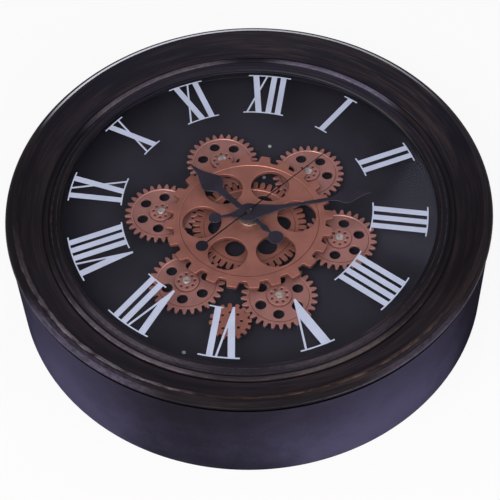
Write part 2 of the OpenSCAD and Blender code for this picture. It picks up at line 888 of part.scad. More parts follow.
// The route of a lead: square out of the battery box, past the movement, straight into the gearbox
function lead_route(i) =
    let (
        shift = lead_step * i,
        start = [box_x - box_l / 4 - shift, box_y - box_w / 2 - fit_gap],
        side_x = -movement_w / 2 - lead_step - shift,
        end_turn = lead_turn + shift / gearbox_r * 180 / PI,
        route = [
            start,
            start - [0, lead_straight],
            [side_x, movement_w / 2],
            [side_x, -movement_w / 2],
            pinion_place + on_circle(gearbox_r + fit_gap + lead_straight, end_turn),
            pinion_place + on_circle(gearbox_r + fit_gap, end_turn)
        ]
    )
    [for (p = route) [p.x, p.y, dial_z - strap_t - lead_r - fit_gap]];
module motor_leads() {
    color("#8c2a26")
        for (i = [0, 1])
            lead(lead_route(i));
}

// Gear motor
module motor_case() {
    color(silver)
        translate([pinion_place.x, pinion_place.y, dial_z - strap_t - motor_h])
            difference() {
                union() {
                    cylinder(r = motor_can_r, h = motor_can_h);
                    translate([0, 0, motor_can_h])
                        cylinder(r = gearbox_r, h = gearbox_h);
                }
                translate([0, 0, motor_can_h + sheet_t])
                    cylinder(r = motor_shaft_r + run_gap, h = gearbox_h);
            }
}

module motor_strap() {
    color(steel_grey)
        difference() {
            translate([pinion_place.x, pinion_place.y, dial_z - strap_t])
                rotate(strap_turn)
                    linear_extrude(strap_t)
                        difference() {
                            union() {
                                circle(gearbox_r);
                                translate([-strap_short, -strap_w / 2])
                                    square([strap_short + strap_long, strap_w]);
                                for (x = [-strap_short, strap_long])
                                    translate([x, 0])
                                        circle(strap_w / 2);
                            }
                            circle(shaft_hole_r);
                        }
            for (place = strap_screws)
                translate([place.x, place.y, dial_z - strap_t - thru])
                    cylinder(r = screw_r + fit_gap, h = strap_t + 2 * thru);
        }
}

module motor_shaft() {
    foot_z = dial_z - strap_t - gearbox_h + sheet_t + end_gap;
    color(silver)
        translate([pinion_place.x, pinion_place.y, foot_z])
            cylinder(r = motor_shaft_r, h = gear_top + shaft_proud - foot_z);
}

// Back
module window() {
    translate([-window_w / 2, window_low])
        square([window_w, window_high - window_low]);
}

module back_board() {
    color("#3a2f28")
        translate([0, 0, board_z])
            linear_extrude(board_t)
                difference() {
                    circle(drum_r - bend_r - sheet_t - slip_gap);
                    window();
                    translate([0, hanger_y])
                        rounded(pocket_w, pocket_h, keyhole_r);
                    around(back_screw_count, back_screw_circle)
                        circle(screw_r + fit_gap);
                    for (x = [-1, 1])
                        translate([x * hanger_screw_x, hanger_y])
                            circle(screw_r + fit_gap);
                }
}

module back_screws() {
    color(silver)
        around(back_screw_count, back_screw_circle) {
            cylinder(r1 = screw_head_r + sheet_t, r2 = screw_head_r, h = sheet_t);
            cylinder(r = screw_r, h = sheet_t + board_t);
        }
}

module hanger_plate() {
    color(silver)
        translate([0, 0, board_z - hanger_t])
            linear_extrude(hanger_t)
                difference() {
                    translate([0, hanger_y])
                        rounded(hanger_w, hanger_h, corner_r);
                    translate([0, hanger_y - keyhole_rise / 2]) {
                        circle(keyhole_r);
                        translate([-keyhole_slot_w / 2, 0])
                            square([keyhole_slot_w, keyhole_rise]);
                        translate([0, keyhole_rise])
                            circle(keyhole_slot_w / 2);
                    }
                    for (x = [-1, 1])
                        translate([x * hanger_screw_x, hanger_y])
                            circle(screw_head_r + 2 * fit_gap);
                }
}

module hanger_screws() {
    color(silver)
        for (x = [-1, 1])
            translate([x * hanger_screw_x, hanger_y, board_z - hanger_t]) {
                cylinder(r = screw_head_r, h = hanger_t);
                cylinder(r = screw_r, h = hanger_t + board_t);
            }
}

// Gears
module planet_gear(k) {
    color(copper)
        translate([planet_place(k).x, planet_place(k).y, gear_z])
            rotate(planet_turn(k))
                difference() {
                    union() {
                        linear_extrude(gear_t)
                            difference() {
                                polygon(gear_points(planet_teeth, planet_addendum, root_r(planet_teeth)));
                                around(hole_count, planet_hole_pitch)
                                    circle(planet_hole_r);
                                hub_holes();
                            }
                        translate([0, 0, gear_t])
                            linear_extrude(planet_hub_rise)
                                difference() {
                                    circle(planet_hub_r);
                                    hub_holes();
                                }
                    }
                    turned_line(planet_line_r, gear_t);
                }
}

module hub_holes() {
    circle(post_r + run_gap);
    around(hub_hole_count, hub_hole_pitch)
        circle(hub_hole_r);
}

module sun_gear() {
    color(copper)
        translate([0, 0, gear_z])
            difference() {
                linear_extrude(gear_t)
                    difference() {
                        rotate(sun_turn)
                            polygon(gear_points(sun_teeth, short_addendum, sun_root_r));
                        around(hole_count, sun_hole_pitch, hole_turn)
                            circle(sun_hole_r);
                        circle(sleeve_r + fit_gap);
                    }
                turned_line(sun_line_r, gear_t);
            }
}

module tooth_gap() {
    reach = front_tooth_h + thru;
    foot_x = front_gap_w / 2 - front_gap_r;
    translate([front_root_r, 0]) {
        for (side = [-1, 1])
            translate([front_gap_r, side * foot_x])
                circle(front_gap_r);
        translate([0, -foot_x])
            square([2 * front_gap_r, 2 * foot_x]);
        polygon([
            [front_gap_r, -front_gap_w / 2],
            [reach, -front_gap_w / 2 - front_gap_flare],
            [reach, front_gap_w / 2 + front_gap_flare],
            [front_gap_r, front_gap_w / 2]
        ]);
    }
}

module front_gear() {
    color(copper)
        translate([0, 0, front_z])
            difference() {
                linear_extrude(front_t)
                    difference() {
                        circle(front_tip_r);
                        around(front_teeth, 0, front_turn + 180 / front_teeth)
                            tooth_gap();
                        around(hole_count, front_hole_pitch, hole_turn)
                            circle(front_hole_r);
                        circle(sleeve_r + fit_gap);
                    }
                turned_line(front_line_r, front_t);
            }
}

module gear_sleeve() {
    color(brass)
        translate([0, 0, gear_z])
            difference() {
                union() {
                    cylinder(r = sleeve_r, h = front_top - gear_z);
                    translate([0, 0, gear_t])
                        cylinder(r = collar_r, h = front_z - gear_top);
                }
                translate([0, 0, -thru])
                    cylinder(r = sleeve_in_r, h = front_top - gear_z + 2 * thru);
            }
}

module drive_pinion() {
    hole_pitch = (root_r(pinion_teeth) + 2 * motor_shaft_r) / 2;
    color(copper)
        translate([pinion_place.x, pinion_place.y, gear_z])
            rotate(pinion_turn)
                linear_extrude(gear_t)
                    difference() {
                        polygon(gear_points(pinion_teeth, short_addendum, root_r(pinion_teeth)));
                        circle(motor_shaft_r + fit_gap);
                        around(hub_hole_count, hole_pitch)
                            circle(hub_hole_r);
                    }
}

// Hands
module hour_hand() {
    leaf = hour_leaf_w / 2;
    neck = hour_stem_w / 2;
    color(ink_black)
        translate([0, 0, hour_z])
            rotate(hour_turn)
                linear_extrude(hand_t)
                    difference() {
                        union() {
                            circle(2.5 * neck);
                            blade([
                                [-hour_tail_l, 0.3 * neck], [-0.75 * hour_tail_l, 0.5 * neck],
                                [-0.6 * hour_tail_l, neck], [-0.42 * hour_tail_l, 0.7 * neck],
                                [0, neck], [0.2 * hour_l, neck],
                                [0.45 * hour_l, 1.3 * neck], [0.5 * hour_l, 0.55 * leaf],
                                [0.56 * hour_l, 0.92 * leaf], [0.62 * hour_l, leaf],
                                [0.7 * hour_l, 0.72 * leaf], [0.8 * hour_l, 0.34 * leaf],
                                [0.9 * hour_l, 0.13 * leaf], [hour_l, 0]
                            ]);
                            translate([-hour_tail_l, 0])
                                circle(hour_tail_r);
                        }
                        circle(pipe_r + fit_gap);
                    }
}

module minute_hand() {
    leaf = minute_leaf_w / 2;
    neck = minute_stem_w / 2;
    color(ink_black)
        translate([0, 0, minute_z])
            rotate(minute_turn)
                linear_extrude(hand_t)
                    difference() {
                        union() {
                            circle(minute_boss_r);
                            blade([
                                [-minute_tail_l, 0.5 * neck], [-0.7 * minute_tail_l, 0.75 * neck],
                                [-0.5 * minute_tail_l, 1.4 * neck],
                                [0, 0.85 * minute_boss_r], [0.1 * minute_l, 0.68 * minute_boss_r],
                                [0.24 * minute_l, 1.8 * neck], [0.38 * minute_l, neck],
                                [0.5 * minute_l, 1.3 * neck], [0.7 * minute_l, 0.5 * leaf],
                                [0.76 * minute_l, 0.88 * leaf], [0.81 * minute_l, leaf],
                                [0.86 * minute_l, 0.7 * leaf], [0.93 * minute_l, 0.24 * leaf], [minute_l, 0]
                            ]);
                            translate([-minute_tail_l, 0])
                                circle(minute_tail_r);
                        }
                        circle(arbor_r + fit_gap);
                    }
}

module second_hand() {
    color(ink_black)
        translate([0, 0, second_z])
            rotate(second_turn)
                linear_extrude(second_t)
                    difference() {
                        union() {
                            circle(0.8 * cap_r);
                            polygon([
                                [-second_tail_l, -second_w / 2], [second_l, -second_w / 4],
                                [second_l, second_w / 4], [-second_tail_l, second_w / 2]
                            ]);
                            translate([-second_tail_l, 0])
                                circle(second_tail_r);
                        }
                        circle(second_arbor_r + fit_gap);
                    }
}

// A shaft from the movement to a hand, with a collar that the hand sits on
module hand_shaft(r_out, r_in, hand_z, plate_t) {
    collar_h = 0.5 * hand_step;
    color(brass)
        difference() {
            union() {
                translate([0, 0, shaft_z])
                    cylinder(r = r_out, h = hand_z + plate_t - shaft_z);
                translate([0, 0, hand_z - collar_h])
                    cylinder(r = r_out + hand_collar_w, h = collar_h);
            }
            if (r_in > 0)
                translate([0, 0, shaft_z - thru])
                    cylinder(r = r_in, h = hand_z + plate_t - shaft_z + 2 * thru);
        }
}

module hour_pipe() {
    hand_shaft(pipe_r, pipe_in_r, hour_z, hand_t);
}

module minute_arbor() {
    hand_shaft(arbor_r, arbor_in_r, minute_z, hand_t);
}

module second_arbor() {
    hand_shaft(second_arbor_r, 0, second_z, second_t);
}

module hub_cap() {
    dome = [for (a = [0 : 10 : 90]) [cap_r * cos(a), cap_h * sin(a)]];
    color(ink_black)
        translate([0, 0, cap_z])
            rotate_extrude()
                polygon(concat([[0, 0]], dome));
}

drum_shell();
bezel_ring();
glass_lens();
glass_gasket();
glass_retainer();
dial_ring();
dial_plate();
dial_ring_screws();
fixing_screws();
planet_posts();
post_nuts();
planet_screws();
movement_case();
movement_cell();
centre_bush();
dial_nut();
thrust_washer();
hub_nut();
motor_case();
motor_strap();
battery_box();
gear_cells();
battery_contacts();
motor_leads();
back_board();
back_screws();
hanger_plate();
hanger_screws();
front_gear();
sun_gear();
gear_sleeve();
planet_gear(1);  // planet_gear_1
planet_gear(2);  // planet_gear_2
planet_gear(3);  // planet_gear_3
planet_gear(4);  // planet_gear_4
planet_gear(5);  // planet_gear_5
planet_gear(6);  // planet_gear_6
drive_pinion();
motor_shaft();
hour_hand();
hour_pipe();
minute_hand();
minute_arbor();
second_hand();
second_arbor();
hub_cap();
set_knob();
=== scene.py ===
"""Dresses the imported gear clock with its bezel, gears, hands, screws, numerals, finishes and a stage."""
import math

import bpy
import numpy as np
from bpy.props import FloatProperty, FloatVectorProperty, PointerProperty
from mathutils import Matrix, Vector
from mathutils.geometry import delaunay_2d_cdt, tessellate_polygon


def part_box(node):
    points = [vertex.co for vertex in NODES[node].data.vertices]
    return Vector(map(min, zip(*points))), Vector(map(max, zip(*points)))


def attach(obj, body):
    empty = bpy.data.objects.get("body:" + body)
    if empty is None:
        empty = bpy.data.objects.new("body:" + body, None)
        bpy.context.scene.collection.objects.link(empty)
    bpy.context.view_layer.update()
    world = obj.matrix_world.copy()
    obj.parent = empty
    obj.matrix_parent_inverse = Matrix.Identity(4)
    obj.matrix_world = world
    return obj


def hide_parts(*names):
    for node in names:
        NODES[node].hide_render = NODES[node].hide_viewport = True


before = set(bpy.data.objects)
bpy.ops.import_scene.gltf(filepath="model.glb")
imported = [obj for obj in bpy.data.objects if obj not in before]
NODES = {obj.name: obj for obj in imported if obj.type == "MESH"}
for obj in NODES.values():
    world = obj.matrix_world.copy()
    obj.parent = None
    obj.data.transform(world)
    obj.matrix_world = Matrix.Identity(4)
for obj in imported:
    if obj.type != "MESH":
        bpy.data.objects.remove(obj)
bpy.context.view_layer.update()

bl_info = {
    "name": "Gear clock",
    "version": (1, 0, 0),
    "blender": (4, 5, 0),
    "location": "View3D > Sidebar > Gear clock",
    "description": "Bezel, gears, hands, numerals and finishes of a wall clock with an open gear train",
    "category": "Object",
}

MADE = {}
MM = 0.001
SHARP_ANGLE = math.radians(32)


def srgb(red, green, blue):
    """Linear colour of an 8-bit screen colour: c/12.92 below 0.04045, else ((c + 0.055) / 1.055) ** 2.4."""
    c = np.array([red, green, blue]) / 255
    return tuple(np.where(c <= 0.04045, c / 12.92, ((c + 0.055) / 1.055) ** 2.4))


def node_low(name):
    """Height of a node's underside, in millimetres."""
    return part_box(name)[0].z / MM


def node_top(name):
    """Height of a node's top, in millimetres."""
    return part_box(name)[1].z / MM


# Sizes of the drum, in millimetres, as the solids have them but for the foot's flare and the joint's gap
DRUM_R = 229
FOOT_FLARE = 0.9
SHEET_T = 1.5
BEND_R = 1.5
REAR_FLANGE_R = 216
BACK_SCREW_CIRCLE = 221
BACK_SCREWS = 8
JOINT_GAP = 0.6
RING_STEPS = 384

# Sizes of the bezel's section, in millimetres
LAND_R = 179.6
LAND_W = 10.9
LAND_RIDGE = 0.8
GROOVE_R = 190.5
GROOVE_Z = 97.8
BEAD_R = 196.4
BEAD_HALF = 2.7
BEAD_H = 1.6
COVE_R = 220.9
COVE_W = 24
COVE_RISE = 16.1
COVE_SAG = 8.8
RIDGE_R = 221.7
OVOLO_W = 8.3
OVOLO_H = 5.3
LIP_Z = 108.6
TUCK_R = 0.7
HOLLOW_Z = 107
HOLLOW_W = 4.1
HOLLOW_H = 5.7
MOULDING_T = 1.2
SKIRT_R = 227.3
SKIRT_Z = 95.0

# Sizes of the gear train, in millimetres and degrees, as the solids have them but for the hubs' detail
GEAR_MODULE = 2.4
PRESSURE_ANGLE = math.radians(20)
TOOTH_PLAY = 0.15
SUN_TEETH = 46
PLANET_TEETH = 28
PINION_TEETH = 16
DEDENDUM = 1.25
SUN_DEDENDUM = 3
PLANET_ADDENDUM = 1
SHORT_ADDENDUM = 0.25
PLANETS = 6
PLANET_START = -3.3
SUN_TURN = 5.4
PLANET_STEPS = (12, 7, 9, 13, 5, 12)
PINION_DIRECTION = -141
HOLE_TURN = 11.8
LINE_W = 1.4
LINE_D = 0.6
PLANET_RIM = 1.4
PLANET_HOLE_R = 5.35
PLANET_HUB_R = 11.5
PLANET_HUB_H = 2
POST_HOLE_R = 3.05
HUB_HOLE_R = 1.5
HUB_HOLE_PITCH = 7.6
HUB_HOLES = 8
HUB_LINE = (PLANET_HUB_R + 0.7, 0.9, 0.6)
SUN_RIM = 2.4
SUN_WEB = 3.6
SUN_HOLE_R = 9.8
SLEEVE_HOLE_R = 8.02
FRONT_TIP_R = 81.5
FRONT_TOOTH_H = 7.5
FRONT_TEETH = 24
FRONT_GAP_W = 8.4
FRONT_GAP_FLARE = 2.2
FRONT_GAP_R = 2
FRONT_TURN = 11.5
FRONT_RIM = 5.1
FRONT_WEB = 2.5
FRONT_HOLE_R = 19
SHAFT_HOLE_R = 2.02
SHAFT_COLLAR = 4

# Sizes of the hands and screws, in millimetres
HAND_TIP_W = 0.6
CAP_R = 3.4
CAP_RIM = 0.4
NUT_R = 10.5
NUT_HOLE_R = 4.97
NUT_EDGE = 0.9
SCREW_HEAD_R = 1.9
SCREW_HEAD_H = 1.4
SCREW_SHANK = (1.2, 5.5)
PLANET_SCREW_R = 4.1
PLANET_SCREW_H = 1.8
PLANET_SCREW_SHANK = (1.2, 5)
DIAL_SCREW_PAIR = ((4.4, 91.6 + 21.05), (4.4, 91.6 - 21.05))
PINION_SCREWS = ((50.6, -139), (30, 41))

# Sizes of the numerals, in millimetres: how far a V's foot drops, half its point, and the gap to the glass
VEE_DROP = 1.2
VEE_HALF = 0.9
PRINT_GAP = 0.01

# Wear and painted highlight along a plate's edge, and a turned line's places across its width, depths, and
# its painted shade where below 0 and painted highlight where above 0
EDGE_WEAR_AND_HIGHLIGHT = np.array([0, 0.5, 1, 0.6, 0.1, 0, 0])
LINE_PLACES = np.array([-0.12, 0, 0.14, 0.28, 0.4, 0.6, 0.8, 1, 1.12])
LINE_DEPTHS = np.array([0, 0, 0.5, 1, 1, 0.72, 0.36, 0, 0])
LINE_SHADE_AND_HIGHLIGHT = (0, 0.3, -0.6, -1, -0.7, 0.3, 0.9, 0.6, 0)


# Looks that a user would change
def colour_of(name, description, *screen):
    """A colour property, from an 8-bit screen colour."""
    return FloatVectorProperty(name=name, description=description, size=3, subtype="COLOR",
                               default=srgb(*screen))


def length_of(name, description, start, low=0.0, high=1000.0):
    """A length property, from millimetres."""
    return FloatProperty(name=name, description=description, default=start * MM, min=low * MM,
                         max=high * MM, unit="LENGTH", precision=5)


def power_of(name, description, start):
    """A light's power property, from watts."""
    return FloatProperty(name=name, description=description, default=start, min=0, unit="POWER")


class CaseLook(bpy.types.PropertyGroup):
    """Paints of the drum, the bezel and the dial."""

    drum: colour_of("Drum", "Violet grey paint of the drum", 41, 38, 49)
    # Cloud and sheen: lighter violet of the drum's clouds and of its painted reflections
    cloud_and_sheen: colour_of("Drum clouds", "Lighter violet of the drum's clouds", 87, 83, 110)
    bezel: colour_of("Bezel", "Bronze black paint of the bezel", 27, 23, 27)
    # Far side: violet that paints the far side's sheen under the lights
    violet: colour_of("Far side", "Violet black of the bezel's far side", 30, 28, 37)
    streak: colour_of("Streaks", "Brown of the brush streaks", 78, 64, 62)
    # Rubbed lip: colour of the painted highlights on the ovolo, lip, bead and land, broken up by rubbed wear
    rubbed: colour_of("Rubbed lip", "Violet grey where the round lip is rubbed", 82, 76, 93)
    # Worn edge: real wear on the ridge, also mixed into the painted highlights on the bead, land and ridge
    worn: colour_of("Worn edge", "Pale brown where the paint is worn through", 146, 131, 128)
    # Worn ridge: the worn ridge's copper, where the ridge's painted highlight also falls on the near side
    copper: colour_of("Worn ridge", "Red copper of the thin worn ridge", 112, 82, 72)
    # Far ridge: a painted highlight, a pale glint along the far ridge
    rim: colour_of("Far ridge", "Pale gleam that shows on the far ridge", 236, 235, 244)
    dial: colour_of("Dial", "Black of the dial board", 47, 45, 54)


class GearLook(bpy.types.PropertyGroup):
    """Copper of the gears."""

    copper: colour_of("Copper", "Matt copper of the gears", 160, 105, 93)
    planets: colour_of("Planets", "Paler copper of the planets", 168, 119, 112)
    edge: length_of("Edge", "Rounding of the gears' edges", 0.35, 0.05, 0.6)


class HandLook(bpy.types.PropertyGroup):
    """Black of the hands."""

    black: colour_of("Hands", "Blue black of the hands", 49, 45, 56)
    edge: length_of("Edge", "Rounding of the hands' edges", 0.18, 0.05, 0.4)


class NumeralLook(bpy.types.PropertyGroup):
    """Numerals on the front of the glass."""

    colour: colour_of("Numerals", "Pale paint of the numerals", 194, 201, 224)
    inner: length_of("Inner radius", "Where the feet of the numerals lie", 120)
    outer: length_of("Outer radius", "Where the tops of the numerals lie", 173)
    stem: length_of("Stem", "Width of a thick stroke", 5.8)
    hairline: length_of("Hairline", "Width of a thin stroke", 1.5)
    thickness: length_of("Thickness", "Thickness of the numerals", 0.3)
    shift: FloatVectorProperty(name="Shift", description="How far the print lies off the clock's axis",
                               size=2, default=(-1.85 * MM, 0.25 * MM), unit="LENGTH", precision=5)


class StageLook(bpy.types.PropertyGroup):
    """Floor and light."""

    floor: colour_of("Floor", "Pale floor", 240, 240, 242)
    key: power_of("Key light", "Power of the large soft light and the panel behind", 21)
    fill: power_of("Fill light", "Power of the lights at the near side and on the right", 12)
    side: power_of("Side light", "Power of the box on the left", 1.6)
    sky: FloatProperty(name="Soft light", description="Strength of the light from all sides", default=0.28,
                       min=0)


class ClockLook(bpy.types.PropertyGroup):
    """All looks of the clock."""

    case: PointerProperty(type=CaseLook)
    gears: PointerProperty(type=GearLook)
    hands: PointerProperty(type=HandLook)
    numerals: PointerProperty(type=NumeralLook)
    stage: PointerProperty(type=StageLook)


# Shader arithmetic
class Value:
    """A shader value: arithmetic with numbers and other values adds Math nodes to its tree."""

    def __init__(self, tree, socket):
        self.tree = tree
        self.socket = socket

    def math(self, operation, first, second):
        return self.tree.node("ShaderNodeMath", {"operation": operation}, {0: first, 1: second})

    def __add__(self, other):
        return self.math("ADD", self, other)

    def __sub__(self, other):
        return self.math("SUBTRACT", self, other)

    def __rsub__(self, other):
        return self.math("SUBTRACT", other, self)

    def __mul__(self, other):
        return self.math("MULTIPLY", self, other)

    def __truediv__(self, other):
        return self.math("DIVIDE", self, other)


class Tree:
    """The nodes of a material or a world: node() adds one with its settings and inputs."""

    def __init__(self, owner):
        owner.use_nodes = True
        self.nodes = owner.node_tree.nodes
        self.links = owner.node_tree.links
        self.nodes.clear()

    def node(self, kind, settings=None, inputs=None, output=0):
        made = self.nodes.new(kind)
        for key, value in (settings or {}).items():
            setattr(made, key, value)
        for key, value in (inputs or {}).items():
            if isinstance(value, Value):
                self.links.new(value.socket, made.inputs[key])
            else:
                made.inputs[key].default_value = value
        return Value(self, made.outputs[output])

    def show(self, kind, shader):
        """Links a shader to an output node of a kind."""
        self.links.new(shader.socket, self.nodes.new(kind).inputs["Surface"])


class Finish(Tree):
    """One material in the making, kept by its name; the methods are the usual forms of node()."""

    def __init__(self, name):
        MADE[name] = bpy.data.materials.new(name)
        super().__init__(MADE[name])
        self.place = self.node("ShaderNodeTexCoord", output="Object")
        self.x, self.y, self.z = (
            self.node("ShaderNodeSeparateXYZ", inputs={0: self.place}, output=axis) for axis in range(3))

    def vector(self, x, y, z):
        return self.node("ShaderNodeCombineXYZ", inputs={0: x, 1: y, 2: z})

    def noise(self, vector, scale, detail=3.0, roughness=0.5):
        return self.node("ShaderNodeTexNoise", inputs={"Vector": vector, "Scale": scale, "Detail": detail,
                                                       "Roughness": roughness})

    def between(self, value, low, high, to_low=0.0, to_high=1.0):
        """A soft step from one level below low to another above high."""
        return self.node("ShaderNodeMapRange", {"interpolation_type": "SMOOTHSTEP"}, {
            "Value": value, "From Min": low, "From Max": high, "To Min": to_low, "To Max": to_high})

    def level(self, noise, low=0.0, high=1.0):
        """A level that follows a noise, most of which lies between 0.3 and 0.7."""
        return self.between(noise, 0.3, 0.7, low, high)

    def blend(self, factor, first, second):
        pair = [c if isinstance(c, Value) else (*c, 1.0) for c in (first, second)]
        return self.node("ShaderNodeMix", {"data_type": "RGBA"}, {0: factor, 6: pair[0], 7: pair[1]}, 2)

    # Worn value: wear on edges; above 0 it also places painted highlights, and below 0 painted shade
    def worn(self):
        return self.node("ShaderNodeAttribute", {"attribute_name": "worn"}, output="Fac")

    def bump(self, height, strength, distance):
        return self.node("ShaderNodeBump", inputs={"Height": height, "Strength": strength,
                                                   "Distance": distance}, output="Normal")

    def surface(self, **inputs):
        named = {key.replace("_", " "): value for key, value in inputs.items()}
        self.show("ShaderNodeOutputMaterial", self.node("ShaderNodeBsdfPrincipled", inputs=named))


class RingFinish(Finish):
    """A finish whose marks run round the clock's axis without a seam."""

    def __init__(self, name):
        super().__init__(name)
        square = self.x * self.x + self.y * self.y
        self.radius = self.node("ShaderNodeMath", {"operation": "SQRT"}, {0: square})

    def streaks(self, along, across, detail=3.0, roughness=0.6):
        """Noise over the direction from the axis, times along, and radius + 0.4 height, times across."""
        place = self.vector(self.x / self.radius * along, self.y / self.radius * along,
                            (self.radius + self.z * 0.4) * across)
        return self.noise(place, 1.0, detail, roughness)

    def band(self, low, high, soft=0.8):
        """1 between two radii and 0 beyond them, with soft edges, in millimetres."""
        inside = self.between(self.radius, (low - soft) * MM, low * MM)
        return inside * self.between(self.radius, high * MM, (high + soft) * MM, 1.0, 0.0)

    def stretch(self, at, core, edge):
        """1 within core degrees of a direction from the axis, 0 beyond edge degrees."""
        a = math.radians(at)
        toward = (self.x * math.cos(a) + self.y * math.sin(a)) / self.radius
        return self.between(toward, math.cos(math.radians(edge)), math.cos(math.radians(core)))


def shade(colour, factor):
    """A colour made darker or lighter by a factor."""
    return tuple(min(1.0, c * factor) for c in colour)


def drum_paint(look):
    """Violet grey satin paint, cloudy, with a fine grain; lighter patches between the four sides are painted
    reflections, and the flanks, the upper wall and a band below the lip get painted shade.
    """
    f = Finish("drum_paint")
    radius_squared = 0.0524
    grain = f.noise(f.place, 420.0, 3.0)
    clouds = f.noise(f.place, 13.0, 6.0, 0.65)
    # Painted reflection: lighter patches between the four sides, where the light boxes reflect in the satin
    # wall
    painted_reflection = f.x * f.x * f.y * f.y / radius_squared ** 2 * 4
    # Painted shade: the flanks at left and right get less tone and a darker blend, the left more
    flank = f.x * f.x * f.x * f.x / radius_squared ** 2
    tone = f.between(clouds * 0.5 + painted_reflection * 0.45 + grain * 0.08 - flank * 0.24, 0.22, 0.8)
    painted_flank_shade = flank * f.between(f.x, -0.2, 0.2, 0.35, 0.15)
    colour = f.blend(painted_flank_shade, f.blend(tone, look.drum, look.cloud_and_sheen), shade(look.drum, 0.3))
    # Painted shade: the wall grows darker towards the top, under the bezel's lip
    colour = f.blend(f.between(f.z, 0.02, 0.1, 0.0, 0.45), colour, shade(look.bezel, 1.6))
    # Painted shadow: a near-black band along the top edge, below the bezel's lip
    colour = f.blend(f.between(f.z, 0.1033, 0.1041), colour, shade(look.bezel, 0.25))
    f.surface(Base_Color=colour, Roughness=f.level(grain, 0.5, 0.6),
              Specular_IOR_Level=0.0, Normal=f.bump(grain, 0.06, 0.0002))


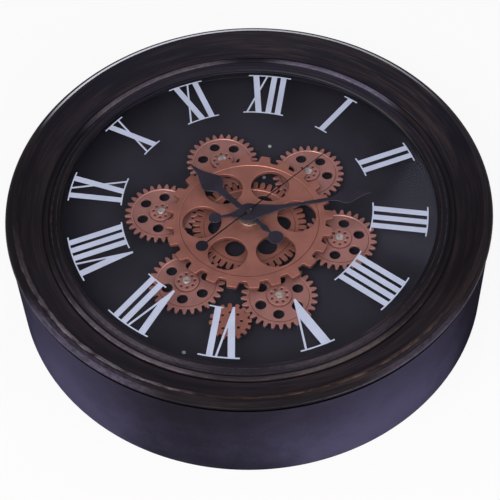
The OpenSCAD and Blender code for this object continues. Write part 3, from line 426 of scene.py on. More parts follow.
def bezel_paint(look):
    """Bronze black paint, streaked round the ring and worn on the ridge, with painted highlights on the bead,
    land, lip and ridge broken up by rubbing, painted sheen on the far side and painted shade.

    Each layer has a weight and a colour and lies over those before it. A weight is a band by radius times
    stretches by direction, broken up by noise; the worn value marks the worn ridge and bead's shoulder, where
    painted highlights also fall.
    """
    f = RingFinish("bezel_paint")
    fine = f.streaks(4.0, 900)
    broad = f.streaks(2.6, 120)
    patches = f.streaks(16.0, 240, 4.0, 0.65)
    grit = f.streaks(45.0, 800)
    sides = f.streaks(1.3, 10, 2.0, 0.5)
    lines = f.between(fine * 0.5 + broad * 0.5, 0.44, 0.66)
    rubbed = f.between(grit * 0.6 + patches * 0.4, 0.35, 0.65)
    bare = f.between(f.worn() + (patches - 0.5) * 1.4 + (sides - 0.5) * 0.6, 0.5, 1.1)
    # Where on the ring
    far = f.between(f.y, -0.06, 0.16)
    right = f.between(f.x, -0.12, 0.12)
    flank = f.between(f.x * f.x, 0.0015, 0.018)
    near = f.between(f.y, -0.12, 0.0, 1.0, 0.25)
    nearest = f.between(f.y, -0.17, -0.05, 1.0, 0.0)
    facing = f.between(f.y * f.y, 0.001, 0.019, 0.15, 1.0)
    # Directions of the lights' reflections, where painted highlights fall on the land, bead, ovolo, lip and
    # ridge
    shine = f.stretch(245, 4, 26) * 0.6 + f.stretch(302, 5, 21) * 0.3 + nearest * 0.08
    glow = f.stretch(70, 10, 25) * 0.68 + f.stretch(130, 14, 30) * 0.62 + shine
    ovolo_highlight = f.stretch(239, 4, 23) + f.stretch(319, 5, 17) * 0.4
    # Ridge: lobes where the ridge's painted highlight falls
    ridge = f.stretch(244, 12, 26) * 0.55 + f.stretch(308, 10, 28) * 0.3 + facing * 0.3 + right * 0.05
    # Where across the section
    bead = f.band(191.6, 195.2) + f.band(190.8, 191.2, 0.5) * far
    edge_highlight_lines = f.band(188.2, 188.7, 0.5) + f.band(183.4, 183.7, 0.4)
    groove_shade = f.band(190.4, 191.0, 0.4) * (1.0 - far * 0.8) + f.band(196.5, 197.2, 0.5)
    lip = f.between(f.z, 0.1096, 0.1099) * f.between(f.z, 0.1105, 0.111, 1.0, 0.0) * f.band(228.0, 231.0)
    under_lip_shadow = f.band(229.0, 231.0) * f.between(f.z, 0.1094, 0.1098, 1.0, 0.0)
    glint = f.band(222.7, 224.8, 0.4) * f.between(f.y - right * 0.08, 0.05, 0.13) * (1.0 - right * 0.45)
    glint = glint + f.band(179.0, 179.9, 0.3) * f.between(f.y, 0.06, 0.14, 0.0, 0.1) * right
    # Mixed colours
    # Tones of the painted highlights (pale, cool) and of the worn ridge with its painted highlight (grey,
    # brown)
    pale = f.blend(0.5, shade(look.worn, 0.8), shade(look.rubbed, 2.0))
    cool = f.blend(far, shade(look.worn, 0.8), shade(look.rubbed, 3.0))
    grey = f.blend(0.5, shade(look.worn, 1.25), shade(look.rubbed, 3.0))
    brown = f.blend(f.between(f.x + (sides - 0.5) * 0.15, -0.07, 0.01), grey, shade(look.copper, 1.4))
    brown = f.blend(f.between(f.x, 0.05, 0.15), brown, f.blend(0.5, shade(look.worn, 0.6), look.copper))
    layers = (
        (lines * (far * 0.12 + 0.17 + right * facing * 0.3), look.streak),
        # Painted light: the far land lit to a lighter violet
        (f.band(170, 189.6) * far * 0.26 * (1.0 - f.stretch(25, 10, 30)), shade(look.violet, 3.2)),
        # Painted light: the near moulding lifted towards the rubbed grey
        (f.band(178.0, 219.0) * nearest * (lines * 0.08 + 0.09), look.rubbed),
        # Painted shade: bead and land darker at left and right
        (f.band(179.0, 197.0) * (1.0 - facing) * 0.6, shade(look.bezel, 0.55)),
        # Painted highlights: the lights' reflections on the bead, broken up by rubbed wear
        (bead * (rubbed * 0.5 + broad * 0.5 + 0.2) * glow, f.blend(right, pale, cool)),
        # Painted highlight: the lights' reflections on the land
        (f.band(183.5, 186.8, 1.2) * (rubbed * 0.5 + 0.3) * shine * 0.75, pale),
        # Painted highlights: thin light lines along the moulding's edges
        (edge_highlight_lines * rubbed * 0.4, look.rubbed),
        # Painted highlights: the lights' reflections on the ovolo and the lip
        (f.band(223.5, 229.6) * (rubbed * 0.5 + 0.1) * ovolo_highlight * 0.6, shade(look.rubbed, 1.2)),
        (f.band(226.5, 229.6) * (rubbed * 0.4 + 0.3) * ovolo_highlight * 0.6, shade(look.rubbed, 2.0)),
        # Painted shade: darker hollows either side of the bead
        (groove_shade * (facing * 0.7 + 0.3), shade(look.bezel, 0.3)),
        # Worn ridge, brightened where the ridge's painted highlight falls
        (bare * near * ridge * f.between(far, 0.3, 0.7, 1.0, 0.0), brown),
        # Painted highlight: a thin light line on the lip's edge, at the sides
        (lip * (rubbed * 0.6 + 0.3) * (flank * 0.7 + 0.1), shade(look.rubbed, 1.5)),
        # Painted shadow: a darker line just below the lip
        (under_lip_shadow, shade(look.bezel, 0.2)),
        # Painted highlight: the glint along the far ridge and the land's inner edge
        (glint, look.rim),
    )
    # Painted sheen: the far side takes the violet it shows under the lights
    colour = f.blend(far, look.bezel, look.violet)
    for weight, paint in layers:
        colour = f.blend(weight, colour, paint)
    f.surface(Base_Color=colour, Roughness=f.level(fine, 0.45, 0.6),
              Metallic=bare * 0.15, Specular_IOR_Level=0.06,
              Normal=f.bump(fine * 0.4 + patches * f.worn() + grit * 0.3, 0.3, 0.0003))


def gear_copper(name, copper):
    """Matt copper with a fine grain and a little cloudiness, edges lighter for wear and a painted highlight,
    and painted shade in the turned lines.
    """
    f = Finish(name)
    grain = f.noise(f.place, 1500.0, 2.0)
    clouds = f.noise(f.place, 55.0, 3.0, 0.55)
    tone = f.between(clouds * 0.8 + grain * 0.2, 0.32, 0.68)
    base = f.blend(tone, shade(copper, 0.9), shade(copper, 1.08))
    # Edges: wear with a painted highlight; below 0 the worn value gives painted shade in the turned lines
    edge = f.between(f.worn() + clouds * 0.5 - 0.25, 0.35, 0.9)
    turned_line_shade = f.between(f.worn(), -0.9, -0.15, 0.7, 0.0)
    colour = f.blend(turned_line_shade, f.blend(edge * 0.8, base, shade(copper, 2.0)), shade(copper, 0.3))
    f.surface(Base_Color=colour, Roughness=f.level(clouds, 0.4, 0.52) - edge * 0.15,
              Metallic=0.45, Specular_IOR_Level=0.12, Normal=f.bump(grain, 0.08, 0.0001))


def hand_black(name, black):
    """Blue black satin lacquer with a bare cut edge, whose light grey is also a painted highlight."""
    f = Finish(name)
    grain = f.noise(f.place, 700.0, 3.0)
    clouds = f.noise(f.place, 60.0, 3.0)
    base = f.blend(f.level(clouds), shade(black, 0.85), shade(black, 1.15))
    edge = f.between(f.worn() + clouds * 0.4 - 0.2, 0.55, 0.85)
    # Edge: bare cut metal, lightened to a painted highlight
    colour = f.blend(edge, base, srgb(170, 168, 178))
    f.surface(Base_Color=colour, Roughness=f.level(grain, 0.55, 0.65), Metallic=edge * 0.6,
              Specular_IOR_Level=0.02, Normal=f.bump(grain, 0.06, 0.0001))


def plain_metal(name, colour, tarnish, rough, metallic):
    """Bare or plated metal with fine scratches and a tarnish that gathers in clouds."""
    f = Finish(name)
    scratches = f.noise(f.vector(f.x * 0.2, f.y, f.z * 0.6), 1200.0, 3.0)
    clouds = f.noise(f.place, 300.0, 4.0, 0.6)
    roughness = f.level(scratches * 0.5 + clouds * 0.5, rough - 0.08, rough + 0.1)
    f.surface(Base_Color=f.blend(f.between(clouds, 0.35, 0.7), colour, tarnish),
              Metallic=metallic, Roughness=roughness, Normal=f.bump(scratches, 0.08, 0.0001))


def mottled(name, tones, grain, clouds, share, rough, specular, bump, spread=0.15):
    """A matt finish of two tones, mixed by a fine grain and by clouds.

    Grain and clouds give a noise's scale, detail and roughness, and share is the grain's part of the mix.
    """
    f = Finish(name)
    fine = f.noise(f.place, *grain)
    broad = f.noise(f.place, *clouds)
    tone = f.between(fine * share + broad * (1 - share), 0.5 - spread, 0.5 + spread)
    f.surface(Base_Color=f.blend(tone, *tones), Roughness=f.level(fine, *rough),
              Specular_IOR_Level=specular, Normal=f.bump(fine, *bump))


def numeral_paint(colour):
    """Pale printed paint with a slight speckle."""
    mottled("numeral_paint", (shade(colour, 0.92), shade(colour, 1.05)), grain=(900.0, 2.0),
            clouds=(40.0, 2.0), share=0.4, rough=(0.5, 0.6), specular=0.2, bump=(0.05, 0.0001))


def dial_black(colour):
    """Matt black board with a fine tooth."""
    mottled("dial_black", (shade(colour, 0.85), shade(colour, 1.15)), grain=(1800.0, 2.0),
            clouds=(12.0, 3.0), share=0.3, rough=(0.62, 0.75), specular=0.1, bump=(0.08, 0.0001))


def moulded(name, colour, rough, scale=900.0):
    """Moulded plastic or rubber with a fine spark-eroded texture."""
    mottled(name, (shade(colour, 0.85), shade(colour, 1.2)), grain=(scale, 3.0), clouds=(30.0, 2.0),
            share=0.4, rough=(rough - 0.08, rough + 0.08), specular=0.35, bump=(0.15, 0.0001))


def fibreboard():
    """Brown black pressed board with fine flecks."""
    mottled("back_fibreboard", (srgb(48, 38, 31), srgb(98, 78, 62)), grain=(650.0, 5.0, 0.75),
            clouds=(40.0, 3.0), share=0.7, rough=(0.75, 0.9), specular=0.2, bump=(0.3, 0.0003),
            spread=0.14)


def clear_glass():
    """Thin clear glass: almost wholly see-through, with a trace of dust."""
    f = Finish("clear_glass")
    dust = f.noise(f.place, 60.0, 4.0)
    f.surface(Base_Color=(0.8, 0.82, 1.0, 1.0), Roughness=f.level(dust, 0.06, 0.12),
              Metallic=1.0, Alpha=f.between(dust, 0.3, 0.75, 0.005, 0.007), IOR=1.5)


# Shapes
def placed(name, data):
    """A new object in the scene."""
    made = bpy.data.objects.new(name, data)
    bpy.context.scene.collection.objects.link(made)
    return made


class Shell:
    """Gathers the points and faces of one piece, with a worn value for each point."""

    def __init__(self):
        self.points = []
        self.worn = []
        self.count = 0
        self.faces = []
        self.smooth = []

    def add(self, points, worn=0.0):
        start = self.count
        flat = np.asarray(points, float).reshape(-1, 3)
        self.points.append(flat)
        self.worn.append(np.broadcast_to(worn, (len(flat),)))
        self.count += len(flat)
        return start

    def put(self, faces, smooth):
        self.faces.extend(np.asarray(faces).tolist())
        self.smooth.extend([smooth] * len(faces))

    def rings(self, points, worn=0.0, close=False):
        """Quads between the rows of a K by N by 3 grid of rings; close joins the last row to the first."""
        k, n = points.shape[:2]
        level = np.broadcast_to(np.asarray(worn, float).reshape(-1, 1), (k, n)).ravel()
        index = self.add(points, level) + np.arange(k * n).reshape(k, n)
        upper = index if close else index[:-1]
        lower = np.roll(index, -1, 0) if close else index[1:]
        quads = np.stack([upper, lower, np.roll(lower, -1, 1), np.roll(upper, -1, 1)], -1)
        self.put(quads.reshape(-1, 4), True)
        return index

    def fan(self, ring, point, up=True):
        """Triangles from one point to a closed ring."""
        tip = self.add([point])
        ahead = np.roll(ring, -1)
        pair = (ring, ahead) if up else (ahead, ring)
        self.put(np.stack([np.full(len(ring), tip), *pair], -1), True)

    def cap(self, rims, up=True):
        """Flat triangles between the first rim and those inside it; a rim is a loop and its point numbers."""
        loops, rows = zip(*rims)
        flat = [np.column_stack([loop[:, :2], np.zeros(len(loop))]) for loop in loops]
        triangles = np.array(tessellate_polygon([list(map(Vector, loop)) for loop in flat]))
        spots = np.concatenate(flat)[triangles]
        a = spots[:, 1] - spots[:, 0]
        b = spots[:, 2] - spots[:, 0]
        turned = (a[:, 0] * b[:, 1] - a[:, 1] * b[:, 0] > 0) != up
        triangles[turned] = triangles[turned][:, ::-1]
        self.put(np.concatenate(rows)[triangles], False)

    def piece(self, name, body, finish, slot=None, replaces=()):
        """The finished object, riding on its body."""
        mesh = bpy.data.meshes.new(name)
        mesh.from_pydata(np.concatenate(self.points) * MM, [], self.faces)
        level = mesh.attributes.new("worn", "FLOAT", "POINT")
        level.data.foreach_set("value", np.concatenate(self.worn).astype(np.float32))
        mesh.set_sharp_from_angle(angle=SHARP_ANGLE)
        mesh.polygons.foreach_set("use_smooth", self.smooth)
        mesh.materials.append(MADE[finish])
        mesh.validate()
        mesh.update()
        made = placed(name, mesh)
        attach(made, body)
        if replaces:
            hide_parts(*replaces)


def circle(radius, count, centre=(0.0, 0.0), turn=0.0):
    """A counter-clockwise loop of points: centre + radius (cos a, sin a)."""
    a = turn + np.arange(count) * 2 * np.pi / count
    return np.stack([centre[0] + radius * np.cos(a), centre[1] + radius * np.sin(a)], -1)


def around(radius, count, turn):
    """Places on a circle, from a turn in degrees."""
    return circle(radius, count, turn=math.radians(turn))


def toward(degrees):
    """Unit vector in a direction."""
    a = math.radians(degrees)
    return np.array([math.cos(a), math.sin(a)])


def turned_plan(loop, degrees, centre=(0.0, 0.0)):
    """A loop turned about the origin and moved to a centre."""
    a = math.radians(degrees)
    spin = np.array([[math.cos(a), math.sin(a)], [-math.sin(a), math.cos(a)]])
    return loop @ spin + np.asarray(centre)


def ellipse(centre, width, height, degrees):
    """Points of an ellipse at some angles: centre + (width cos a, height sin a)."""
    a = np.radians(degrees)
    return np.column_stack([centre[0] + width * np.cos(a), centre[1] + height * np.sin(a)])


def lathe(profile, count, centre=(0.0, 0.0)):
    """Rings of points: a profile of [radius, height] rows carried round an upright axis."""
    profile = np.asarray(profile, float)
    plan = np.stack([circle(r, count, centre) for r in profile[:, 0]])
    return np.dstack([plan, np.broadcast_to(profile[:, 1:], plan.shape[:2])])


def inset(loop, distance):
    """The loop moved left: each point goes along (n1 + n2) / (1 + n1.n2), n being its edges' normals."""
    ahead = np.roll(loop, -1, 0) - loop
    ahead = ahead / np.maximum(np.linalg.norm(ahead, axis=1, keepdims=True), 1e-9)
    left = np.stack([-ahead[:, 1], ahead[:, 0]], -1)
    before = np.roll(left, 1, 0)
    mitre = (left + before) / np.maximum(1 + np.sum(left * before, 1, keepdims=True), 0.3)
    return loop + distance * mitre


def plate(shell, outline, holes, low, high, edge, lines=(), centre=(0.0, 0.0), sink=(), wear=1.0):
    """A flat plate with rounded edges and turned lines.

    Each boundary carries one profile: inset = edge (1 - sin a), height = high - edge (1 - cos a), a from
    0 to 90 degrees, then straight down to a smaller chamfer at the back. A turned line is a trough carried
    round a circle, given by its outer radius, width and depth, the widest first. Sink says how much wider
    each hole is at the back, and wear how bare the edges are and how much painted highlight they carry.
    """
    a = np.radians([0, 25, 50, 75, 90])
    back = 0.5 * edge
    steps = np.concatenate([edge * (1 - np.sin(a)), [0.0, back]])
    heights = np.concatenate([high - edge * (1 - np.cos(a)), [low + back, low]])
    loops = [outline] + [hole[::-1] for hole in holes]
    zones = [[] for _ in range(len(lines) + 1)]
    bottoms = []
    widen = [0.0] + list(sink or [0.0] * len(holes))
    depth = (high - heights) / (high - low)
    for number, (loop, cone) in enumerate(zip(loops, widen)):
        rows = np.stack([inset(loop, s) for s in steps + cone * depth])
        grid = np.concatenate([rows, np.broadcast_to(heights[:, None, None], rows.shape[:2] + (1,))], -1)
        index = shell.rings(grid, EDGE_WEAR_AND_HIGHLIGHT * wear)
        reach = np.linalg.norm(loop.mean(0) - centre)
        zone = sum(reach < line[0] for line in lines) if number else 0
        zones[zone].append((rows[0], index[0]))
        bottoms.append((rows[-1], index[-1]))
    shell.cap(bottoms, up=False)
    for zone, (radius, width, drop) in enumerate(lines):
        radii = radius - width + LINE_PLACES * width
        trough = lathe(np.column_stack([radii, high - drop * LINE_DEPTHS]), 120, centre)
        index = shell.rings(trough, LINE_SHADE_AND_HIGHLIGHT)
        zones[zone].append((trough[-1][:, :2], index[-1]))
        zones[zone + 1].insert(0, (trough[0][:, :2], index[0]))
    for zone in zones:
        shell.cap(zone)


def cut_plate(node, piece, body, finish, slot, outline, holes, edge, lines=(), wear=1.0):
    """A piece cut from one plate that takes the place and the height of a node."""
    shell = Shell()
    plate(shell, outline, holes, node_low(node), node_top(node), edge, lines, wear=wear)
    shell.piece(piece, body, finish, slot, [node])


# Case
def bezel_profile():
    """The bezel's closed section, from the land's inner edge out over the face and back along the underside.

    Lip to ridge: a quarter ellipse. Cove: a straight fall of 16.1 over 24 less 8.8 s (1 - s). Bead: half an
    ellipse, 1.6 high. Land: a soft ridge 0.8 sin 160 s.
    """
    lip = np.linspace(90, 0, 22)
    s = np.linspace(1, 0, 30)
    t = np.linspace(1, 0, 22)
    land = np.column_stack([GROOVE_R - LAND_W * t, GROOVE_Z + LAND_RIDGE * np.sin(np.radians(160 * t))])
    bead = ellipse((BEAD_R - BEAD_HALF, GROOVE_Z), BEAD_HALF, BEAD_H, np.linspace(180, 0, 22))
    cove = np.column_stack([COVE_R - COVE_W * s, GROOVE_Z + COVE_RISE * (1 - s) - COVE_SAG * s * (1 - s)])
    ovolo = ellipse((RIDGE_R, LIP_Z), OVOLO_W, OVOLO_H, lip)
    tuck = ellipse((RIDGE_R + OVOLO_W - TUCK_R, LIP_Z), TUCK_R, -TUCK_R, lip)[::-6][1:]
    under_lip = ellipse((RIDGE_R, HOLLOW_Z), HOLLOW_W, HOLLOW_H, lip[::-1])
    under_cove = cove[::-1] - [0, MOULDING_T]
    skirt = np.array([[SKIRT_R, LIP_Z - TUCK_R], [SKIRT_R, SKIRT_Z], [SKIRT_R - SHEET_T, SKIRT_Z]])
    face = np.concatenate([land, bead, cove, ovolo, tuck])
    bottom = np.concatenate([skirt, under_lip, under_cove, [[LAND_R, GROOVE_Z - MOULDING_T]]])
    # Worn value: wear on the bead's crest, the ridge and the lip's edge, placed where the ridge's and lip's
    # painted highlights fall
    from_ridge = ovolo[:, 0] - RIDGE_R
    worn = np.concatenate([
        np.zeros(len(land)),
        0.75 * np.clip(1 - np.abs(bead[:, 0] - BEAD_R + 1.0) / 1.1, 0, 1),
        0.9 * np.clip(1.3 - np.abs(COVE_R - 1.4 - cove[:, 0]) / 3.0, 0, 1),
        0.8 * np.clip(1 - from_ridge / 2.2, 0, 1) + 0.3 * np.clip((from_ridge - 8.0) / 0.3, 0, 1),
        np.zeros(len(tuck) + len(bottom)),
    ])
    return np.concatenate([face, bottom]), worn


def bezel_moulding(look):
    """The bezel: its section carried round the clock's axis."""
    bezel_paint(look)
    shell = Shell()
    profile, worn = bezel_profile()
    shell.rings(lathe(profile, RING_STEPS), worn, close=True)
    shell.piece("bezel_moulding", "case", "bezel_paint", "bezel_paint", ["bezel_ring"])


def drum_wall():
    """The drum: a rolled sheet whose section, wall, bend and rear flange, is carried round the axis.

    The wall opens a little towards its foot. The flange is a flat ring with countersunk holes.
    """
    shell = Shell()
    bend = np.linspace(0, -90, 9)
    outer_r = BEND_R + SHEET_T
    mid = DRUM_R + FOOT_FLARE - BEND_R - SHEET_T
    top = node_top("drum_shell") - JOINT_GAP
    rim = [[DRUM_R - SHEET_T, top - 0.2], [DRUM_R - SHEET_T + 0.2, top], [DRUM_R - 0.3, top],
           [DRUM_R, top - 0.3]]
    side = np.linspace([DRUM_R, top - 4], [DRUM_R + FOOT_FLARE, outer_r + 2], 12)
    outer = ellipse((mid, outer_r), outer_r, outer_r, bend)
    inner = ellipse((mid, outer_r), BEND_R, BEND_R, bend[::-1])
    shell.rings(lathe(np.concatenate([rim, side, outer, inner]), RING_STEPS), close=True)
    holes = [circle(SCREW_HEAD_R, 24, c) for c in around(BACK_SCREW_CIRCLE, BACK_SCREWS, 0)]
    sink = [SHEET_T] * BACK_SCREWS + [0.0]
    plate(shell, circle(mid + 0.1, 240), holes + [circle(REAR_FLANGE_R, 240)], 0, SHEET_T, 0.1, sink=sink)
    shell.piece("drum_wall", "case", "drum_paint", "case_paint", ["drum_shell"])


# Gears
def pitch_r(teeth):
    """Pitch radius of a fine gear."""
    return GEAR_MODULE * teeth / 2


def fine_teeth(teeth, addendum, dedendum):
    """Outline of a fine gear with involute flanks and rounded tips, a tooth centred on +X.

    Half the tooth's angle at radius r is 90/teeth - play + inv(pressure angle) - inv(acos(base / r)), in
    degrees; the tip is a quarter ellipse that starts 0.35 modules below the tip circle.
    """
    pitch = pitch_r(teeth)
    base = pitch * math.cos(PRESSURE_ANGLE)
    root = pitch - dedendum * GEAR_MODULE
    tip = pitch + addendum * GEAR_MODULE

    def half(r):
        a = np.arccos(np.minimum(1.0, base / r))
        start = math.pi / 2 / teeth - TOOTH_PLAY / pitch + math.tan(PRESSURE_ANGLE) - PRESSURE_ANGLE
        return start - (np.tan(a) - a)

    shoulder = tip - 0.35 * GEAR_MODULE
    rise = np.linspace(max(base, root), shoulder, 6)
    low = np.array([root]) if root < base else np.array([])
    psi = np.radians([22, 44, 64, 80])
    cap_r = shoulder + (tip - shoulder) * np.sin(psi)
    cap_half = half(shoulder) * (0.3 + 0.7 * np.cos(psi))
    radii = np.concatenate([low, rise, cap_r])
    halves = np.concatenate([half(low), half(rise), cap_half])
    r = np.concatenate([radii, radii[::-1]])
    side = np.concatenate([-halves, halves[::-1]])
    angle = np.arange(teeth)[:, None] * 2 * np.pi / teeth + side
    return np.stack([r * np.cos(angle), r * np.sin(angle)], -1).reshape(-1, 2)


def coarse_teeth():
    """Outline of the front gear: a tip circle with flared gaps, round at their feet, gap after gap."""
    root = FRONT_TIP_R - FRONT_TOOTH_H
    foot = FRONT_GAP_W / 2 - FRONT_GAP_R
    fillet = ellipse((root + FRONT_GAP_R, foot), FRONT_GAP_R, FRONT_GAP_R, np.linspace(180, 90, 7))
    slope = FRONT_GAP_FLARE / (FRONT_TOOTH_H + 1 - FRONT_GAP_R)
    mouth = FRONT_GAP_W / 2 + slope * (FRONT_TOOTH_H - FRONT_GAP_R)
    lead = np.array([FRONT_TIP_R, mouth]) + [[-0.95, -0.3], [-0.52, 0.02], [-0.3, 0.55]]
    start = math.degrees(math.atan2(lead[-1, 1], lead[-1, 0]))
    pitch = 360 / FRONT_TEETH
    tip = ellipse((0, 0), FRONT_TIP_R, FRONT_TIP_R, np.linspace(start, pitch - start, 9)[1:-1])
    upper = np.concatenate([fillet, lead])
    one = np.concatenate([(upper * [1, -1])[::-1], upper, tip])
    return np.concatenate([turned_plan(one, pitch * tooth) for tooth in range(FRONT_TEETH)])


def mesh_turn(line, driver_turn, driver, follower):
    """Turn of a gear that meets another: its gap meets the driver's tooth on the line of centres."""
    return line + 180 + 180 / follower - (driver_turn - line) * driver / follower


def planet_spot(k):
    """Centre and turn of planet k, counted from 0."""
    line = PLANET_START + 60 * k
    centre = (pitch_r(SUN_TEETH) + pitch_r(PLANET_TEETH)) * toward(line)
    turn = mesh_turn(line, SUN_TURN, SUN_TEETH, PLANET_TEETH) + PLANET_STEPS[k] * 360 / PLANET_TEETH
    return centre, turn


def pinion_spot():
    """Centre and turn of the pinion, which meets the last planet."""
    meets, driver_turn = planet_spot(PLANETS - 1)
    centre = meets + (pitch_r(PLANET_TEETH) + pitch_r(PINION_TEETH)) * toward(PINION_DIRECTION)
    return centre, mesh_turn(PINION_DIRECTION, driver_turn, PLANET_TEETH, PINION_TEETH)


def planet_gear(k, edge):
    """A planet: toothed plate with six holes and a turned line, and a raised hub with small holes."""
    centre, turn = planet_spot(k)
    line_r = pitch_r(PLANET_TEETH) - DEDENDUM * GEAR_MODULE - PLANET_RIM
    hole_pitch = (PLANET_HUB_R + line_r - LINE_W) / 2
    node = "planet_gear_%d" % (k + 1)
    hub_top = node_top(node)
    top = hub_top - PLANET_HUB_H
    outline = turned_plan(fine_teeth(PLANET_TEETH, PLANET_ADDENDUM, DEDENDUM), turn, centre)
    bore = circle(POST_HOLE_R, 40, centre)
    small = [circle(HUB_HOLE_R, 20, centre + c) for c in around(HUB_HOLE_PITCH, HUB_HOLES, turn)]
    large = [circle(PLANET_HOLE_R, 48, centre + c) for c in around(hole_pitch, 6, turn)]
    shell = Shell()
    lines = [(line_r, LINE_W, LINE_D), HUB_LINE]
    plate(shell, outline, large + small + [bore], node_low(node), top, edge, lines, centre)
    plate(shell, circle(PLANET_HUB_R, 80, centre), small + [bore], top - 0.3, hub_top, edge)
    shell.piece("planet_wheel_%d" % (k + 1), "planet_%d" % (k + 1), "planet_copper", "gear_copper", [node])


def axis_holes(pitch, radius, count):
    """Six round holes about the clock's axis, and the sleeve's hole."""
    return [circle(radius, count, c) for c in around(pitch, 6, HOLE_TURN)] + [circle(SLEEVE_HOLE_R, 60)]


def sun_gear(edge):
    """The sun: slender teeth, six holes, a turned line and the sleeve's hole."""
    line_r = pitch_r(SUN_TEETH) - SUN_DEDENDUM * GEAR_MODULE - SUN_RIM
    outline = turned_plan(fine_teeth(SUN_TEETH, SHORT_ADDENDUM, SUN_DEDENDUM), SUN_TURN)
    holes = axis_holes(line_r - LINE_W - SUN_WEB - SUN_HOLE_R, SUN_HOLE_R, 72)
    cut_plate("sun_gear", "sun_wheel", "sun_train", "shaded_sun_copper", "gear_copper", outline, holes, edge,
              [(line_r, LINE_W, LINE_D)])


def front_gear(edge):
    """The front gear: coarse teeth, six large holes and a turned line."""
    line_r = FRONT_TIP_R - FRONT_TOOTH_H - FRONT_RIM
    outline = turned_plan(coarse_teeth(), FRONT_TURN + 180 / FRONT_TEETH)
    holes = axis_holes(line_r - LINE_W - FRONT_WEB - FRONT_HOLE_R, FRONT_HOLE_R, 96)
    cut_plate("front_gear", "front_wheel", "sun_train", "gear_copper", "gear_copper", outline, holes,
              1.6 * edge, [(line_r, LINE_W, LINE_D)])


def drive_pinion(edge):
    """The pinion: short teeth, a ring of small holes and the shaft's hole."""
    centre, turn = pinion_spot()
    root = pitch_r(PINION_TEETH) - DEDENDUM * GEAR_MODULE
    outline = turned_plan(fine_teeth(PINION_TEETH, SHORT_ADDENDUM, DEDENDUM), turn, centre)
    holes = [circle(HUB_HOLE_R, 20, centre + c) for c in around((root + SHAFT_COLLAR) / 2, HUB_HOLES, turn)]
    holes.append(circle(SHAFT_HOLE_R, 30, centre))
    cut_plate("drive_pinion", "pinion_wheel", "pinion", "gear_copper", "gear_copper", outline, holes, edge)


# Hands
def smooth_stations(stations):
    """A Catmull-Rom curve through the stations."""
    p = np.asarray(stations, float)
    padded = np.concatenate([p[:1], p, p[-1:]])
    t = np.linspace(0, 1, 10, endpoint=False)[None, :, None]
    a, b, c, d = (padded[i:len(p) - 1 + i, None, :] for i in range(4))
    square = 2 * a - 5 * b + 4 * c - d
    cube = 3 * b - a - 3 * c + d
    curve = 0.5 * (2 * b + (c - a) * t + square * t ** 2 + cube * t ** 3)
    return np.concatenate([curve.reshape(-1, 2), p[-1:]])


def hand_outline(stations, discs):
    """Outline of a hand along +X: at each distance, half its width is the wider of blade and discs."""
    curve = smooth_stations(stations)
    spread = np.cos(np.linspace(np.pi, 0, 48))
    x = np.concatenate([curve[:, 0]] + [c + r * spread for c, r in discs])
    x = np.unique(np.round(x, 3))
    half = np.maximum(np.interp(x, curve[:, 0], curve[:, 1], left=0.0), HAND_TIP_W / 2)
    half = np.where(x < curve[0, 0], 0.0, half)
    for c, r in discs:
        half = np.maximum(half, np.sqrt(np.maximum(0.0, r * r - (x - c) ** 2)))
    lower = np.column_stack([x, -half])
    upper = np.column_stack([x, half])[::-1]
    keep = upper[:, 1] > 1e-6
    return np.concatenate([lower, upper[keep]])


def hand(node, piece, body, finish, stations, discs, turn, bore, edge, wear=1.0):
    """One hand: its outline, turned to where it points, with a bore for its arbor."""
    outline = turned_plan(hand_outline(stations, discs), turn)
    cut_plate(node, piece, body, finish, "hand_black", outline, [bore], edge, wear=wear)


def hour_hand(edge):
    """The hour hand: spade leaf, scalloped neck and a round tail."""
    leaf = 11.5
    neck = 3.0
    length = 90
    tail = 38
    stations = [
        (-tail, 0.3 * neck), (-0.75 * tail, 0.5 * neck), (-0.6 * tail, neck), (-0.42 * tail, 0.7 * neck),
        (0, neck), (0.2 * length, neck), (0.45 * length, 1.3 * neck), (0.5 * length, 0.55 * leaf),
        (0.56 * length, 0.92 * leaf), (0.62 * length, leaf), (0.7 * length, 0.72 * leaf),
        (0.8 * length, 0.34 * leaf), (0.9 * length, 0.13 * leaf), (length, 0)]
    hand("hour_hand", "hour_spade", "hour", "hand_black", stations, discs=[(-tail, 7.6), (0, 7.5)],
         turn=140.5, bore=circle(2.52, 40), edge=edge)


def minute_hand(edge):
    """The minute hand: long spade leaf, round boss and a round tail."""
    leaf = 8.25
    neck = 1.9
    boss = 11
    length = 121
    tail = 33
    stations = [
        (-tail, 0.5 * neck), (-0.7 * tail, 0.75 * neck), (-0.5 * tail, 1.4 * neck), (0, 0.85 * boss),
        (0.1 * length, 0.68 * boss), (0.24 * length, 1.8 * neck), (0.38 * length, neck),
        (0.5 * length, 1.1 * neck), (0.66 * length, 1.2 * neck), (0.72 * length, 0.45 * leaf),
        (0.765 * length, 0.9 * leaf), (0.81 * length, leaf), (0.86 * length, 0.7 * leaf),
        (0.93 * length, 0.24 * leaf), (length, 0)]
    hand("minute_hand", "minute_spade", "minute", "hand_black", stations, discs=[(-tail, 6.2), (0, boss)],
         turn=19, bore=circle(1.57, 40), edge=edge, wear=0.86)


def second_hand(edge):
    """The second hand: a thin tapered rod with a round tail."""
    stations = [(-61, 0.7), (-20, 0.62), (30, 0.52), (110, 0.35)]
    hand("second_hand", "second_rod", "second", "rod_black", stations, discs=[(-61, 6), (0, 2.72)],
         turn=52, bore=circle(0.62, 24), edge=edge, wear=0.0)


